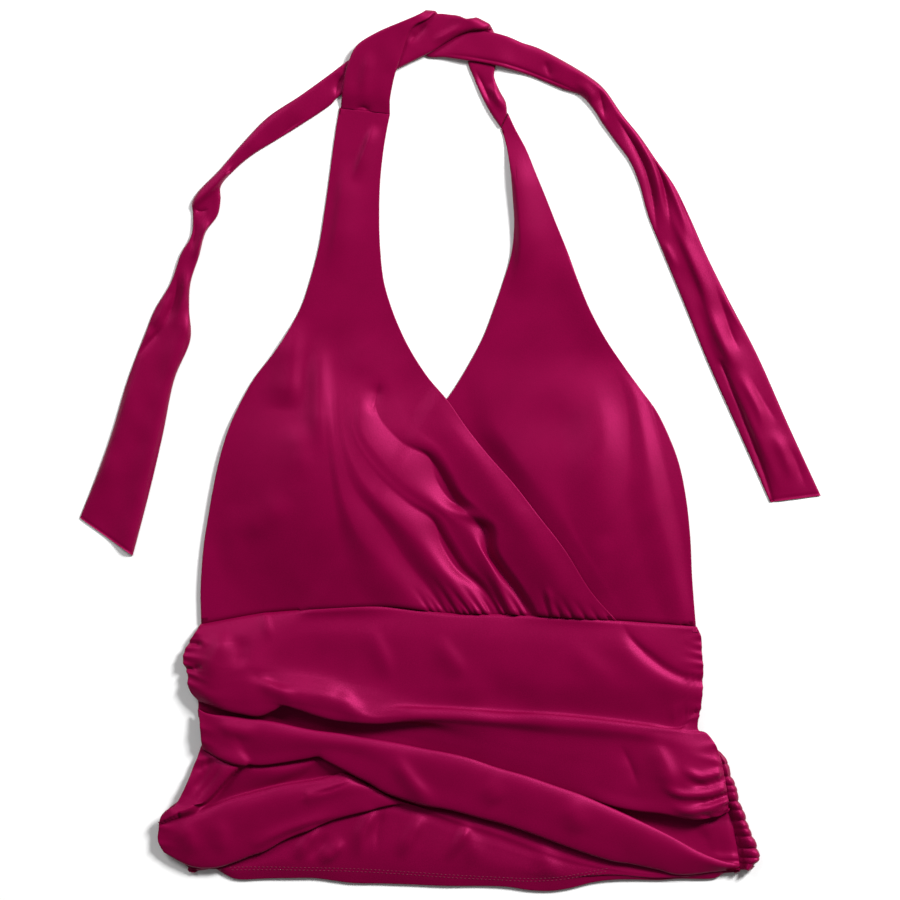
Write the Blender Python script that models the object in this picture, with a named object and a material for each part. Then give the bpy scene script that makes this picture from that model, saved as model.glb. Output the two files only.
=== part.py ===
"""A halter top lying flat on a surface.

Seven pieces of stretch knit: two cups with straps, where the left cup wraps over the right one,
a back band behind them, a ruched front and back waist panel, and two ties that cross once above
the straps. +Z is up, +Y points to the neck and the surface is z = 0. The tables are in
millimetres, measured from the middle of the garment as it lies.
"""
import math

import bpy
import numpy as np

MM = 0.001

# Driving dimensions, millimetres
CLOTH = 1.2             # wall of a panel: shell and backing of a stretch knit
TIE_CLOTH = 1.6         # a tie is a flattened tube, so two layers
SEAM_GAP = 0.4          # between two panels where they are sewn together
LAYER_GAP = 0.8         # least air between two panels that lie on each other
CENTRE = (0.25, 0.6)   # middle of the outline, moved to the origin

BUST_HEIGHT = 12.0      # how far the cups stand up
BUST_RADII = (88.0, 106.0)
LEFT_CUP = (-84.0, -34.0)
RIGHT_CUP = (92.0, -34.0)
BACK_TOP = -14.0        # top edge of the back band

CLOTH_COLOUR = (0.235, 0.002, 0.052, 1.0)

# The seam under the bust: height of the seam at nine even places from left to right
SEAM_ENDS = (-173.5, 171.5)
SEAM_HEIGHTS = (-121.5, -114.0, -111.0, -109.5, -114.0, -115.0, -117.5, -120.0, -123.5)

# Cup sections from the strap's top to the seam: both ends of a line across the cup
#         outer_x outer_y  inner_x inner_y
WRAP_SECTIONS = (
    (-77.0, 239.0, -42.5, 235.0),
    (-79.5, 224.0, -45.0, 222.5),
    (-82.0, 206.5, -47.5, 206.5),
    (-85.0, 184.0, -49.5, 185.5),
    (-87.5, 166.5, -50.0, 166.5),
    (-91.5, 142.0, -49.5, 143.5),
    (-97.5, 119.0, -47.0, 119.0),
    (-103.5, 101.0, -42.0, 101.0),
    (-112.5, 84.0, -35.5, 84.5),
    (-122.5, 68.5, -28.0, 69.5),
    (-136.0, 51.0, -16.0, 51.0),
    (-145.5, 34.5, -2.0, 34.5),
    (-154.0, 16.0, 11.0, 16.0),
    (-160.0, -3.0, 26.0, -3.0),
    (-164.5, -23.0, 44.0, -23.5),
    (-168.5, -45.5, 61.0, -45.5),
    (-172.0, -68.5, 79.0, -68.5),
    (-174.0, -98.0, 98.0, -98.0),
    (-173.5, -121.0, 115.5, -118.0),
)
UNDER_SECTIONS = (
    (40.5, 235.0, 36.0, 225.0),
    (45.0, 225.0, 38.0, 220.0),
    (52.5, 211.0, 40.5, 210.0),
    (59.5, 194.0, 42.5, 194.5),
    (66.5, 177.0, 44.0, 176.5),
    (74.0, 158.0, 45.0, 157.5),
    (82.5, 137.0, 43.0, 136.5),
    (89.5, 117.5, 37.0, 116.0),
    (96.5, 100.0, 31.0, 98.5),
    (107.0, 80.0, 24.0, 80.0),
    (121.0, 59.0, 13.0, 59.0),
    (133.0, 42.5, 3.0, 42.5),
    (143.5, 28.0, -7.0, 28.0),
    (152.0, 11.0, -15.5, 11.0),
    (159.5, -9.0, -25.0, -9.0),
    (164.5, -33.0, -38.0, -33.0),
    (167.5, -60.0, -53.0, -60.0),
    (169.0, -91.0, -73.5, -91.0),
    (171.5, -123.0, -89.5, -111.0),
)

# Gathers of the wrap at the seam: place, depth and how far they run up the cup
#   x      depth  reach
GATHERS = (
    (-13.0, 0.9, 34.0), (-2.5, 1.1, 30.0), (5.0, 0.9, 16.0), (11.5, 1.2, 40.0),
    (18.0, 1.0, 18.0), (25.0, 1.3, 26.0), (32.0, 1.0, 14.0), (38.5, 1.3, 46.0),
    (46.0, 1.1, 20.0), (53.0, 1.5, 52.0), (60.5, 1.2, 24.0), (68.5, 1.0, 30.0),
    (76.0, 0.9, 16.0), (84.0, 0.9, 24.0), (92.5, 0.8, 14.0), (101.0, 0.7, 12.0),
)
GATHER_WIDTH = 2.4
GATHER_LEAN = 0.45      # the gathers fan up to the left

# Fold lines of the front waist panel, from the seam down to the hem. Each row has its two ends,
# then its height (y) and its lift above the surface (z) at nine even places from left to right.
WAIST_FOLDS = (
    # name            ends              heights                                                       lifts
    ("seam", (-173.5, 171.5), SEAM_HEIGHTS, (2.8, 4.0, 4.6, 5.2, 6.0, 6.2, 5.4, 4.0, 2.8)),
    ("puff_top", (-183.5, 176.0), (-139.5, -134.5, -134.5, -135.0, -136.5, -136.5, -137.0, -138.5, -140.0),
     (3.2, 8.0, 9.5, 9.5, 9.0, 8.5, 8.0, 7.5, 4.0)),
    ("puff_crest", (-182.5, 177.0), (-162.5, -159.5, -173.0, -179.0, -171.0, -168.0, -169.5, -172.0, -171.0),
     (3.6, 12.0, 13.0, 11.5, 10.0, 9.0, 9.0, 9.0, 5.0)),
    ("puff_lip", (-175.5, 171.5), (-176.5, -185.5, -187.0, -191.0, -187.0, -182.5, -185.0, -189.5, -194.0),
     (4.2, 9.5, 10.0, 9.0, 7.4, 5.6, 5.4, 5.4, 4.2)),
    ("puff_tuck", (-175.5, 171.5), (-178.5, -180.0, -181.5, -185.5, -185.5, -186.0, -189.5, -194.0, -198.5),
     (2.8, 5.2, 5.2, 4.8, 4.5, 4.2, 4.0, 4.0, 3.0)),
    ("low_puff", (-175.0, 183.5), (-182.5, -189.0, -194.0, -199.5, -199.0, -201.0, -204.5, -208.0, -211.0),
     (2.6, 3.4, 3.6, 4.8, 8.0, 9.5, 10.5, 10.5, 5.0)),
    ("low_lip", (-173.0, 194.0), (-186.0, -196.5, -205.0, -213.5, -222.5, -230.5, -241.5, -253.5, -252.5),
     (2.6, 3.2, 3.2, 3.4, 3.8, 4.0, 6.0, 9.0, 5.4)),
    ("low_turn", (-173.0, 194.0), (-188.5, -201.0, -209.5, -217.5, -227.0, -236.0, -245.5, -248.5, -249.0),
     (3.4, 4.9, 4.9, 4.9, 4.9, 4.9, 4.2, 4.8, 3.2)),
    ("band_under", (-173.0, 198.0), (-187.5, -195.5, -203.0, -211.5, -220.5, -235.0, -249.5, -260.5, -269.5),
     (4.8, 6.6, 6.6, 6.6, 6.6, 6.6, 4.6, 3.4, 2.8)),
    ("band_lip", (-173.0, 201.0), (-184.5, -189.5, -197.5, -206.0, -215.5, -231.5, -252.0, -270.0, -283.0),
     (6.4, 8.6, 8.6, 8.4, 8.2, 8.0, 6.2, 5.2, 4.6)),
    ("band_top", (-173.0, 201.0), (-188.5, -194.0, -202.0, -210.5, -220.0, -236.0, -256.0, -274.5, -286.0),
     (7.4, 10.4, 10.7, 10.6, 10.2, 9.8, 8.6, 7.6, 6.6)),
    ("band_crest", (-172.5, 200.5), (-197.0, -206.0, -210.0, -222.5, -232.5, -247.0, -266.0, -282.0, -290.0),
     (7.6, 11.5, 11.5, 12.0, 12.0, 11.0, 9.8, 8.6, 7.0)),
    ("band_edge", (-172.0, 199.5), (-209.5, -220.0, -220.5, -244.5, -255.0, -269.0, -285.5, -296.0, -295.0),
     (5.6, 8.5, 8.5, 8.0, 8.0, 7.5, 7.0, 6.6, 5.8)),
    ("band_tuck", (-172.0, 199.5), (-207.5, -214.5, -215.0, -239.0, -249.5, -264.0, -280.5, -290.5, -290.0),
     (3.8, 4.8, 5.0, 4.8, 4.8, 4.7, 4.4, 4.2, 4.2)),
    ("recess", (-180.5, 200.0), (-219.0, -221.0, -220.0, -242.5, -252.5, -267.0, -283.5, -291.5, -290.6),
     (4.0, 2.8, 2.8, 2.8, 2.8, 2.7, 2.6, 2.6, 2.5)),
    ("flap_foot", (-196.0, 200.5), (-249.0, -242.0, -229.5, -246.5, -256.5, -271.0, -286.0, -293.0, -291.4),
     (3.0, 3.0, 3.0, 2.9, 2.9, 2.8, 2.7, 2.6, 2.5)),
    ("flap_lip", (-200.0, 201.0), (-254.5, -245.0, -232.5, -249.0, -260.0, -274.0, -288.5, -294.5, -292.2),
     (4.6, 7.6, 6.4, 4.0, 3.6, 3.4, 3.0, 2.8, 2.5)),
    ("flap_crest", (-203.0, 201.0), (-266.5, -263.0, -247.0, -252.5, -265.5, -278.5, -291.0, -296.0, -293.0),
     (5.2, 10.0, 9.0, 5.2, 5.0, 4.5, 3.6, 3.0, 2.5)),
    ("flap_edge", (-201.0, 202.0), (-278.5, -287.0, -263.0, -257.0, -271.5, -283.5, -293.5, -297.0, -293.8),
     (4.6, 7.0, 6.5, 5.2, 4.6, 4.0, 3.4, 2.9, 2.5)),
    ("hem_foot", (-191.5, 202.0), (-284.5, -290.0, -267.5, -261.5, -277.0, -289.0, -296.0, -298.0, -294.6),
     (3.2, 3.2, 3.6, 4.0, 4.2, 3.8, 3.2, 2.8, 2.5)),
    ("hem_bulge", (-184.0, 202.5), (-289.0, -294.5, -285.0, -281.0, -291.0, -298.0, -298.5, -299.0, -295.4),
     (2.8, 3.2, 4.6, 4.8, 4.6, 4.2, 3.2, 2.7, 2.5)),
    ("hem", (-177.0, 202.5), (-293.5, -299.5, -300.5, -303.5, -304.5, -307.5, -301.0, -300.0, -296.4),
     (2.5, 2.5, 2.5, 2.5, 2.5, 2.5, 2.5, 2.5, 2.5)),
)

# Outline of the back waist panel from the seam to the hem. Where its edge rolls to the front,
# seam_x is the side seam that it reaches, and None above that.
#    height  left_x  right_x  seam_x
BACK_OUTLINE = (
    (-124.5, -172.0, 170.0, None),
    (-133.0, -179.0, 173.0, None),
    (-140.0, -182.0, 174.5, None),
    (-150.5, -182.5, 175.0, None),
    (-168.0, -179.0, 175.5, None),
    (-176.0, -172.5, 172.5, None),
    (-190.0, -172.5, 169.5, None),
    (-197.0, -172.0, 173.0, None),
    (-203.0, -171.5, 181.0, None),
    (-208.0, -171.5, 185.0, None),
    (-213.0, -171.5, 191.0, 186.0),
    (-219.0, -175.0, 194.5, 189.0),
    (-226.0, -179.5, 196.0, 190.2),
    (-235.0, -180.5, 200.0, 192.5),
    (-245.0, -189.0, 202.0, 194.5),
    (-253.0, -198.0, 205.5, 196.5),
    (-265.0, -200.5, 209.5, 199.5),
    (-275.0, -202.0, 214.0, 202.5),
    (-280.0, -199.0, 215.5, 203.5),
    (-286.0, -189.0, 216.5, 204.5),
    (-293.0, -174.0, 209.0, 205.0),
)
ROLL_HEIGHT = 6.4       # how high the rolled edge stands
ROLL_GATHERS = 9        # scallops along the rolled edge
ROLL_DEPTH = 1.3        # how deep they are
ROLL_TOP = -213.0
ROLL_FOOT = -290.0

# Sections of the ties, from the seam on the strap to the cut end: both edges of the tie.
# The left tie climbs, folds back behind the right one and runs off to the right. The right tie
# climbs behind it, folds over its top edge, passes under the left tie and runs off to the left.
#    left_x  left_y  left_z  right_x right_y right_z
TIE_LEFT = (
    (-76.5, 240.5, 0.8, -42.0, 236.5, 0.8),
    (-75.5, 249.0, 3.4, -42.0, 244.5, 3.2),
    (-74.0, 260.5, 4.0, -40.5, 253.5, 4.6),
    (-71.0, 271.5, 4.6, -38.0, 264.0, 5.6),
    (-65.0, 283.0, 5.2, -33.5, 277.0, 6.2),
    (-51.0, 292.0, 5.8, -29.5, 289.0, 6.6),
    (-33.5, 299.5, 6.4, -23.5, 297.0, 6.6),
    (-22.5, 304.5, 6.4, -16.0, 302.0, 6.4),
    (-17.5, 308.0, 3.8, -9.5, 307.5, 3.8),
    (-18.0, 303.5, 1.0, -7.0, 301.5, 1.0),
    (-21.0, 290.0, 0.9, 1.5, 296.0, 0.9),
    (-17.5, 276.0, 0.9, 9.5, 290.5, 1.7),
    (-3.0, 274.5, 2.4, 16.0, 290.0, 3.3),
    (10.0, 272.5, 3.3, 21.0, 290.0, 3.4),
    (21.0, 271.0, 3.4, 28.5, 288.5, 3.4),
    (33.0, 268.5, 3.3, 39.0, 286.5, 3.3),
    (44.0, 265.5, 2.2, 49.5, 284.0, 2.2),
    (55.5, 262.0, 1.0, 61.5, 281.5, 1.0),
    (78.5, 252.5, 0.8, 84.5, 269.5, 0.8),
    (91.5, 248.0, 0.8, 101.0, 259.0, 0.8),
    (99.5, 239.5, 0.8, 109.0, 251.5, 0.8),
    (107.0, 228.0, 0.8, 120.5, 235.0, 0.8),
    (116.0, 215.5, 0.8, 133.0, 219.5, 0.8),
    (125.5, 202.5, 0.8, 144.0, 203.5, 0.8),
    (132.5, 186.0, 0.8, 157.0, 185.0, 0.8),
    (138.5, 164.5, 0.8, 168.0, 162.5, 0.8),
    (148.5, 139.5, 0.8, 178.5, 138.5, 0.8),
    (164.0, 102.0, 0.8, 194.0, 107.0, 0.8),
    (181.5, 59.0, 0.8, 215.0, 66.5, 0.8),
    (203.0, 11.0, 0.8, 236.5, 18.0, 0.8),
    (224.0, -36.5, 0.8, 259.5, -32.0, 0.8),
)
TIE_RIGHT = (
    (35.5, 225.4, 0.8, 40.0, 235.4, 0.8),
    (28.0, 236.5, 0.9, 39.0, 243.5, 0.9),
    (21.5, 249.0, 0.9, 34.5, 252.0, 0.9),
    (17.0, 259.5, 0.8, 31.0, 261.0, 0.8),
    (12.5, 271.5, 0.8, 32.0, 269.0, 0.8),
    (14.5, 281.5, 0.8, 33.5, 280.0, 0.8),
    (15.5, 291.0, 0.8, 33.5, 287.0, 0.8),
    (16.0, 298.0, 0.9, 33.5, 292.5, 0.9),
    (16.5, 302.5, 2.6, 32.5, 296.0, 2.6),
    (12.5, 302.0, 4.3, 27.0, 294.5, 4.3),
    (6.5, 303.5, 4.4, 17.0, 293.0, 4.4),
    (-0.5, 304.5, 4.2, 7.5, 290.5, 4.2),
    (-8.5, 303.5, 3.9, -3.5, 284.5, 4.0),
    (-19.5, 298.0, 3.6, -12.5, 278.5, 3.8),
    (-33.5, 290.5, 3.2, -24.0, 273.0, 3.5),
    (-49.0, 284.0, 2.8, -38.5, 265.5, 3.0),
    (-61.5, 278.0, 2.2, -56.0, 254.5, 2.0),
    (-71.5, 272.5, 1.3, -76.5, 248.0, 1.0),
    (-83.5, 263.5, 0.8, -84.0, 241.0, 0.8),
    (-105.0, 248.0, 0.8, -105.0, 227.0, 0.8),
    (-127.5, 233.0, 0.8, -122.0, 216.5, 0.8),
    (-145.0, 215.0, 0.8, -138.0, 206.5, 0.8),
    (-161.0, 196.5, 0.8, -150.5, 196.0, 0.8),
    (-176.5, 180.5, 0.8, -160.5, 184.0, 0.8),
    (-180.5, 173.0, 0.8, -160.5, 175.0, 0.8),
    (-180.0, 165.0, 0.8, -162.5, 164.5, 0.8),
    (-181.0, 150.5, 0.8, -171.0, 152.0, 0.8),
    (-188.5, 137.0, 0.8, -175.5, 136.0, 0.8),
    (-195.5, 117.0, 0.8, -181.5, 117.0, 0.8),
    (-206.5, 98.5, 0.8, -182.5, 98.5, 0.8),
    (-213.0, 82.5, 0.8, -181.5, 78.5, 0.8),
    (-225.5, 49.5, 0.8, -193.0, 49.0, 0.8),
    (-236.5, 12.5, 0.8, -201.0, 10.5, 0.8),
    (-247.0, -17.0, 0.8, -210.0, -28.0, 0.8),
    (-259.0, -47.5, 0.8, -222.0, -74.0, 0.8),
)


def smoothstep(low, high, value):
    """0 below low, 1 above high and a soft step between them."""
    part = np.clip((np.asarray(value, float) - low) / (high - low), 0.0, 1.0)
    return part * part * (3.0 - 2.0 * part)


def through(rows, steps):
    """A smooth curve through the rows of a table, with steps points for each span.

    The spans are weighted by their length, so a short one between long ones makes no loop.
    """
    rows = np.asarray(rows, float)
    step = np.diff(rows, axis=0)
    span = np.sqrt(np.linalg.norm(step, axis=-1, keepdims=True)) + 1e-6
    slope = step / span
    tangent = np.concatenate([slope[:1], slope[:1], slope[1:]])
    wide = span[:-1] + span[1:]
    tangent[1:-1] = slope[1:] + slope[:-1] - (rows[2:] - rows[:-2]) / wide
    tangent[-1] = slope[-1]
    out = []
    for t in np.arange(steps) / steps:
        out.append(rows[:-1] * (2 * t ** 3 - 3 * t ** 2 + 1) + rows[1:] * (3 * t ** 2 - 2 * t ** 3)
                   + span * tangent[:-1] * (t ** 3 - 2 * t ** 2 + t) + span * tangent[1:] * (t ** 3 - t ** 2))
    curve = np.stack(out, axis=1).reshape(-1, *rows.shape[1:])
    return np.concatenate([curve, rows[-1:]])


def spread(values, places):
    """Values given at even places from 0 to 1, read smoothly at other places."""
    steps = 12
    knots = np.stack([np.linspace(0.0, 1.0, len(values)) * 1000.0, np.asarray(values, float)], axis=1)
    fine = through(knots, steps)
    return np.interp(np.asarray(places, float) * 1000.0, fine[:, 0], fine[:, 1])


def seam_height(x):
    """Height of the seam under the bust at a place across the garment."""
    left, right = SEAM_ENDS
    return spread(SEAM_HEIGHTS, (np.asarray(x, float) - left) / (right - left))


def cloth_material():
    material = bpy.data.materials.new("stretch_knit")
    material.use_nodes = True
    shader = material.node_tree.nodes["Principled BSDF"]
    shader.inputs["Base Color"].default_value = CLOTH_COLOUR
    shader.inputs["Roughness"].default_value = 0.5
    shader.inputs["Metallic"].default_value = 0.0
    return material


def surface_normals(grid):
    """Normal of the middle surface at each point of a grid of rows and columns.

    At a fold it halves the angle between the rows on both sides, whatever their distance.
    """
    across = np.gradient(grid, axis=1)
    legs = np.diff(grid, axis=0)
    legs = legs / np.linalg.norm(legs, axis=2, keepdims=True)
    down = np.concatenate([legs[:1], legs[1:] + legs[:-1], legs[-1:]])
    normals = np.cross(down, across)
    return normals / np.linalg.norm(normals, axis=2, keepdims=True)


def cells(rows, columns):
    """Every cell of a grid, as a loop of places that runs anticlockwise from above."""
    return [
        [(row, column), (row + 1, column), (row + 1, column + 1), (row, column + 1)]
        for row in range(rows - 1)
        for column in range(columns - 1)
    ]


def graded_cells(rows, columns, first_fine, every):
    """Cells that are wide above the row first_fine and one column wide below it."""
    loops = []
    for row in range(rows - 1):
        width = every if row < first_fine else 1
        for column in range(0, columns - 1, width):
            last = column + width
            foot = [(row + 1, last)]
            if row == first_fine - 1:
                foot = [(row + 1, place) for place in range(column + 1, last + 1)]
            loops.append([(row, column), (row + 1, column)] + foot + [(row, last)])
    return loops


def wall(name, grid, thickness, loops, upright=False):
    """A closed wall round a grid of middle points, rows running down and columns to the right.

    An upright wall is thick along Z. Any other is thick along its own normal. The loops say
    which places of the grid each piece of the wall spans.
    """
    normals = np.zeros_like(grid)
    normals[:, :, 2] = 1.0
    if not upright:
        normals = surface_normals(grid)
    sides = [grid + normals * thickness / 2, grid - normals * thickness / 2]
    for side in sides:
        side[:, :, 2] = np.maximum(side[:, :, 2], 0.0)
    used = sorted({place for loop in loops for place in loop})
    number = {place: index for index, place in enumerate(used)}
    points = [side[place] * MM for side in sides for place in used]
    below = len(used)
    faces = []
    edges = {}
    for loop in loops:
        ring = [number[place] for place in loop]
        for start, end in zip(ring[:-2], ring[1:-1]):
            faces.append((ring[-1], start, end))
            faces.append((ring[-1] + below, end + below, start + below))
        for start, end in zip(ring, ring[1:] + ring[:1]):
            edges[start, end] = True
    for start, end in edges:
        if (end, start) not in edges:
            faces.append((end, start, start + below))
            faces.append((end, start + below, end + below))
    return add_object(name, points, faces)


def add_object(name, points, faces):
    shift = np.array([-CENTRE[0] * MM, -CENTRE[1] * MM, 0.0])
    mesh = bpy.data.meshes.new(name)
    mesh.from_pydata([tuple(point + shift) for point in points], [], faces)
    mesh.materials.append(bpy.data.materials["stretch_knit"])
    mesh.update()
    piece = bpy.data.objects.new(name, mesh)
    bpy.context.collection.objects.link(piece)
    return piece


def bust_height(x, y):
    """How far the two cups stand up at a point."""
    total = 0.0
    for middle_x, middle_y in (LEFT_CUP, RIGHT_CUP):
        away = ((x - middle_x) / BUST_RADII[0]) ** 2 + ((y - middle_y) / BUST_RADII[1]) ** 2
        total = total + BUST_HEIGHT * np.clip(1.0 - away, 0.0, 1.0) ** 2
    return total


def bed_height(y):
    """Middle of the lowest front layer: on the surface by the straps, on the back band below."""
    on_band = CLOTH * 1.5 + LAYER_GAP
    return CLOTH / 2 + (on_band - CLOTH / 2) * smoothstep(BACK_TOP + 26.0, BACK_TOP + 4.0, y)


def hidden_edge(y):
    """The free edge of the lower cup where it runs on under the wrap."""
    table = np.array(UNDER_SECTIONS)
    return np.interp(-y, -table[:, 3], table[:, 2])


def wrap_lift(x, y):
    """How far the wrap is raised where the lower cup lies under it."""
    reach = 20.0
    return (CLOTH + LAYER_GAP) * smoothstep(-reach, -4.0, x - hidden_edge(y)) * smoothstep(60.0, 40.0, y)


def gather_height(x, y):
    """The small pleats where the wrap is gathered into the seam."""
    above = y - seam_height(x)
    total = 0.0
    for place, depth, reach in GATHERS:
        line = place - GATHER_LEAN * above
        ridge = np.exp(-((x - line) / GATHER_WIDTH) ** 2)
        total = total + depth * ridge * np.clip(1.0 - above / reach, 0.0, 1.0) ** 1.5
    return total


def cup_grid(sections, steps, places):
    """Points of a cup between the two ends of its sections, down to the curved seam."""
    table = through(sections, steps)
    outer = table[:, None, 0:2]
    inner = table[:, None, 2:4]
    spots = outer + (inner - outer) * places[None, :, None]
    x, y = spots[:, :, 0], spots[:, :, 1]
    foot = seam_height(x[-1]) + SEAM_GAP / 2
    hold = smoothstep(-40.0, -118.0, y)
    y = y + hold * (foot - y[-1])[None, :]
    return x, y


def make_cup_wrap():
    every = 4
    left = np.linspace(0.0, 0.5, 5 * every + 1)
    places = np.concatenate([left, np.linspace(0.5, 1.0, 11 * every + 1)[1:]])
    x, y = cup_grid(WRAP_SECTIONS, 2, places)
    z = bed_height(y) + bust_height(x, y) + wrap_lift(x, y) + gather_height(x, y)
    grid = np.stack([x, y, z], axis=2)
    gathered = 5
    loops = graded_cells(*x.shape, len(x) - 1 - gathered, every)
    return wall("cup_wrap", grid, CLOTH, loops, upright=True)


def make_cup_under():
    places = np.linspace(0.0, 1.0, 15)
    x, y = cup_grid(UNDER_SECTIONS, 2, places)
    z = bed_height(y) + bust_height(x, y)
    grid = np.stack([x, y, z], axis=2)[:, ::-1]
    return wall("cup_under", grid, CLOTH, cells(*x.shape), upright=True)


def make_back_band():
    inset = 1.2
    left_edge = np.array(WRAP_SECTIONS)
    right_edge = np.array(UNDER_SECTIONS)
    rows = np.linspace(0.0, 1.0, 9)
    columns = np.linspace(0.0, 1.0, 13)
    top = BACK_TOP
    grid = np.zeros((9, 13, 3))
    for index, part in enumerate(rows):
        level = top + (SEAM_HEIGHTS[0] + SEAM_GAP - top) * part
        left = np.interp(-level, -left_edge[:, 1], left_edge[:, 0]) + inset
        right = np.interp(-level, -right_edge[:, 1], right_edge[:, 0]) - inset
        x = left + (right - left) * columns
        foot = seam_height(x) + SEAM_GAP
        grid[index, :, 0] = x
        grid[index, :, 1] = top + (foot - top) * part
        grid[index, :, 2] = CLOTH / 2
    return wall("back_band", grid, CLOTH, cells(*grid.shape[:2]), upright=True)


def fold_points(columns):
    """The fold lines of the front waist panel, read at even places from left to right."""
    places = np.linspace(0.0, 1.0, columns)
    lines = []
    for name, (left, right), heights, lifts in WAIST_FOLDS:
        x = left + (right - left) * places
        y = spread(heights, places)
        if name == "seam":
            y = y - SEAM_GAP / 2
        lines.append(np.stack([x, y, spread(lifts, places)], axis=1))
    return np.array(lines)


def make_waist_front():
    columns = 33
    lines = fold_points(columns)
    grid = through(lines, 2)
    return wall("waist_front", grid, CLOTH, cells(*grid.shape[:2]))


def make_waist_back():
    flat_columns = 13
    table = np.array([(row[0], row[1], row[2], row[3] or row[2]) for row in BACK_OUTLINE])
    steps = 2
    rows = through(table, steps)
    grid = np.zeros((len(rows), flat_columns + 4, 3))
    middle = CLOTH / 2
    for index, (y, left, right, seam) in enumerate(rows):
        wave = math.cos(2 * math.pi * ROLL_GATHERS * (y - ROLL_TOP) / (ROLL_FOOT - ROLL_TOP))
        scallop = ROLL_DEPTH * wave / 2 if y < ROLL_TOP else 0.0
        edge = right + scallop
        grid[index, :flat_columns, 0] = left + (edge - 2.0 - left) * np.linspace(0.0, 1.0, flat_columns)
        grid[index, :flat_columns, 2] = middle
        grid[index, flat_columns:, 0] = (edge, edge, edge - 2.2, seam + SEAM_GAP + CLOTH / 2)
        grid[index, flat_columns:, 2] = (2.2, ROLL_HEIGHT - 1.8, ROLL_HEIGHT, ROLL_HEIGHT + scallop / 2)
        drop = smoothstep(-150.0, rows[0, 0], y)
        curve = seam_height(grid[index, :, 0]) - SEAM_GAP - rows[0, 0]
        grid[index, :, 1] = y + drop * curve
    loops = [
        loop for loop in cells(*grid.shape[:2])
        if loop[2][1] < flat_columns or ROLL_FOOT <= rows[loop[2][0], 0] and rows[loop[0][0], 0] <= ROLL_TOP
    ]
    return wall("waist_back", grid, CLOTH, loops)


def make_tie(name, table):
    across = 5
    edges = through(table, 2)
    places = np.linspace(0.0, 1.0, across)
    left = edges[:, None, 0:3]
    right = edges[:, None, 3:6]
    grid = left + (right - left) * places[None, :, None]
    return wall(name, grid[::-1], TIE_CLOTH, cells(*grid.shape[:2]))


def main():
    for old in list(bpy.data.objects):
        bpy.data.objects.remove(old, do_unlink=True)
    cloth_material()
    make_cup_wrap()
    make_cup_under()
    make_back_band()
    make_waist_front()
    make_waist_back()
    make_tie("tie_left", TIE_LEFT)
    make_tie("tie_right", TIE_RIGHT)


main()
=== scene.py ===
"""A halter top lying flat, seen straight from above: the finish of its cloth, the floor, the light
and the camera.

Every panel is a thin shell and every tie a flattened tube on the form of its solid, worked out from
the same sections, with its creases, gathers and seams added. The tables are in millimetres,
measured from the middle of the garment as it lies, and CENTRE is where the frame's origin is in them.
"""
import math

import bpy
import numpy as np
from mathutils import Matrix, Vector
from mathutils.bvhtree import BVHTree


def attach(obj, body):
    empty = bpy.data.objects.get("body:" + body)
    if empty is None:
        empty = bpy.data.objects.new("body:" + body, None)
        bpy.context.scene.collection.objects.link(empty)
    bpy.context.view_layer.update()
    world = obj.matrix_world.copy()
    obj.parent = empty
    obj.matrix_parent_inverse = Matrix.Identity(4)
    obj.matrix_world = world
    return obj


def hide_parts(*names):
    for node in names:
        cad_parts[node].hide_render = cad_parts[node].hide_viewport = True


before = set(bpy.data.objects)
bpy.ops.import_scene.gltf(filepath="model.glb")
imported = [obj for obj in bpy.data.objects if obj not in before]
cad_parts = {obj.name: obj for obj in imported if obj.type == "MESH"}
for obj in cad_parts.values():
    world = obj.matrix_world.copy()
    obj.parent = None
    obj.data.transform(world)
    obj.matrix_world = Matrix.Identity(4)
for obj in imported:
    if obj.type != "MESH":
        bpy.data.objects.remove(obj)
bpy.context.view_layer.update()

MM = 0.001

# Driving dimensions, millimetres
CLOTH = 1.2             # wall of a panel
TIE_CLOTH = 1.6         # a tie is a flattened tube, so two layers
SEAM_GAP = 0.4          # between two panels where they are sewn together
LAYER_GAP = 0.8         # least air between two panels that lie on each other
CENTRE = (0.25, 0.6)    # middle of the outline, the frame's origin

BUST_HEIGHT = 12.0      # how far the cups stand up
BUST_RADII = (88.0, 106.0)
LEFT_CUP = (-84.0, -34.0)
RIGHT_CUP = (92.0, -34.0)
BACK_TOP = -14.0        # top edge of the back band
BED_CLIMB = 96.0        # stretch above that edge on which the front comes up onto the band

# The lowest that a sheet may lie: a front panel, the back panel, a turned edge and a tie
FRONT_LEAST = 0.8
BACK_LEAST = 0.6
EDGE_LEAST = 0.06
TIE_LEAST = 0.05

# The seam under the bust: its height at nine even places from left to right
SEAM_ENDS = (-173.5, 171.5)
SEAM_HEIGHTS = (-121.5, -114, -111, -109.5, -114, -115, -117.5, -120, -123.5)

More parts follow.
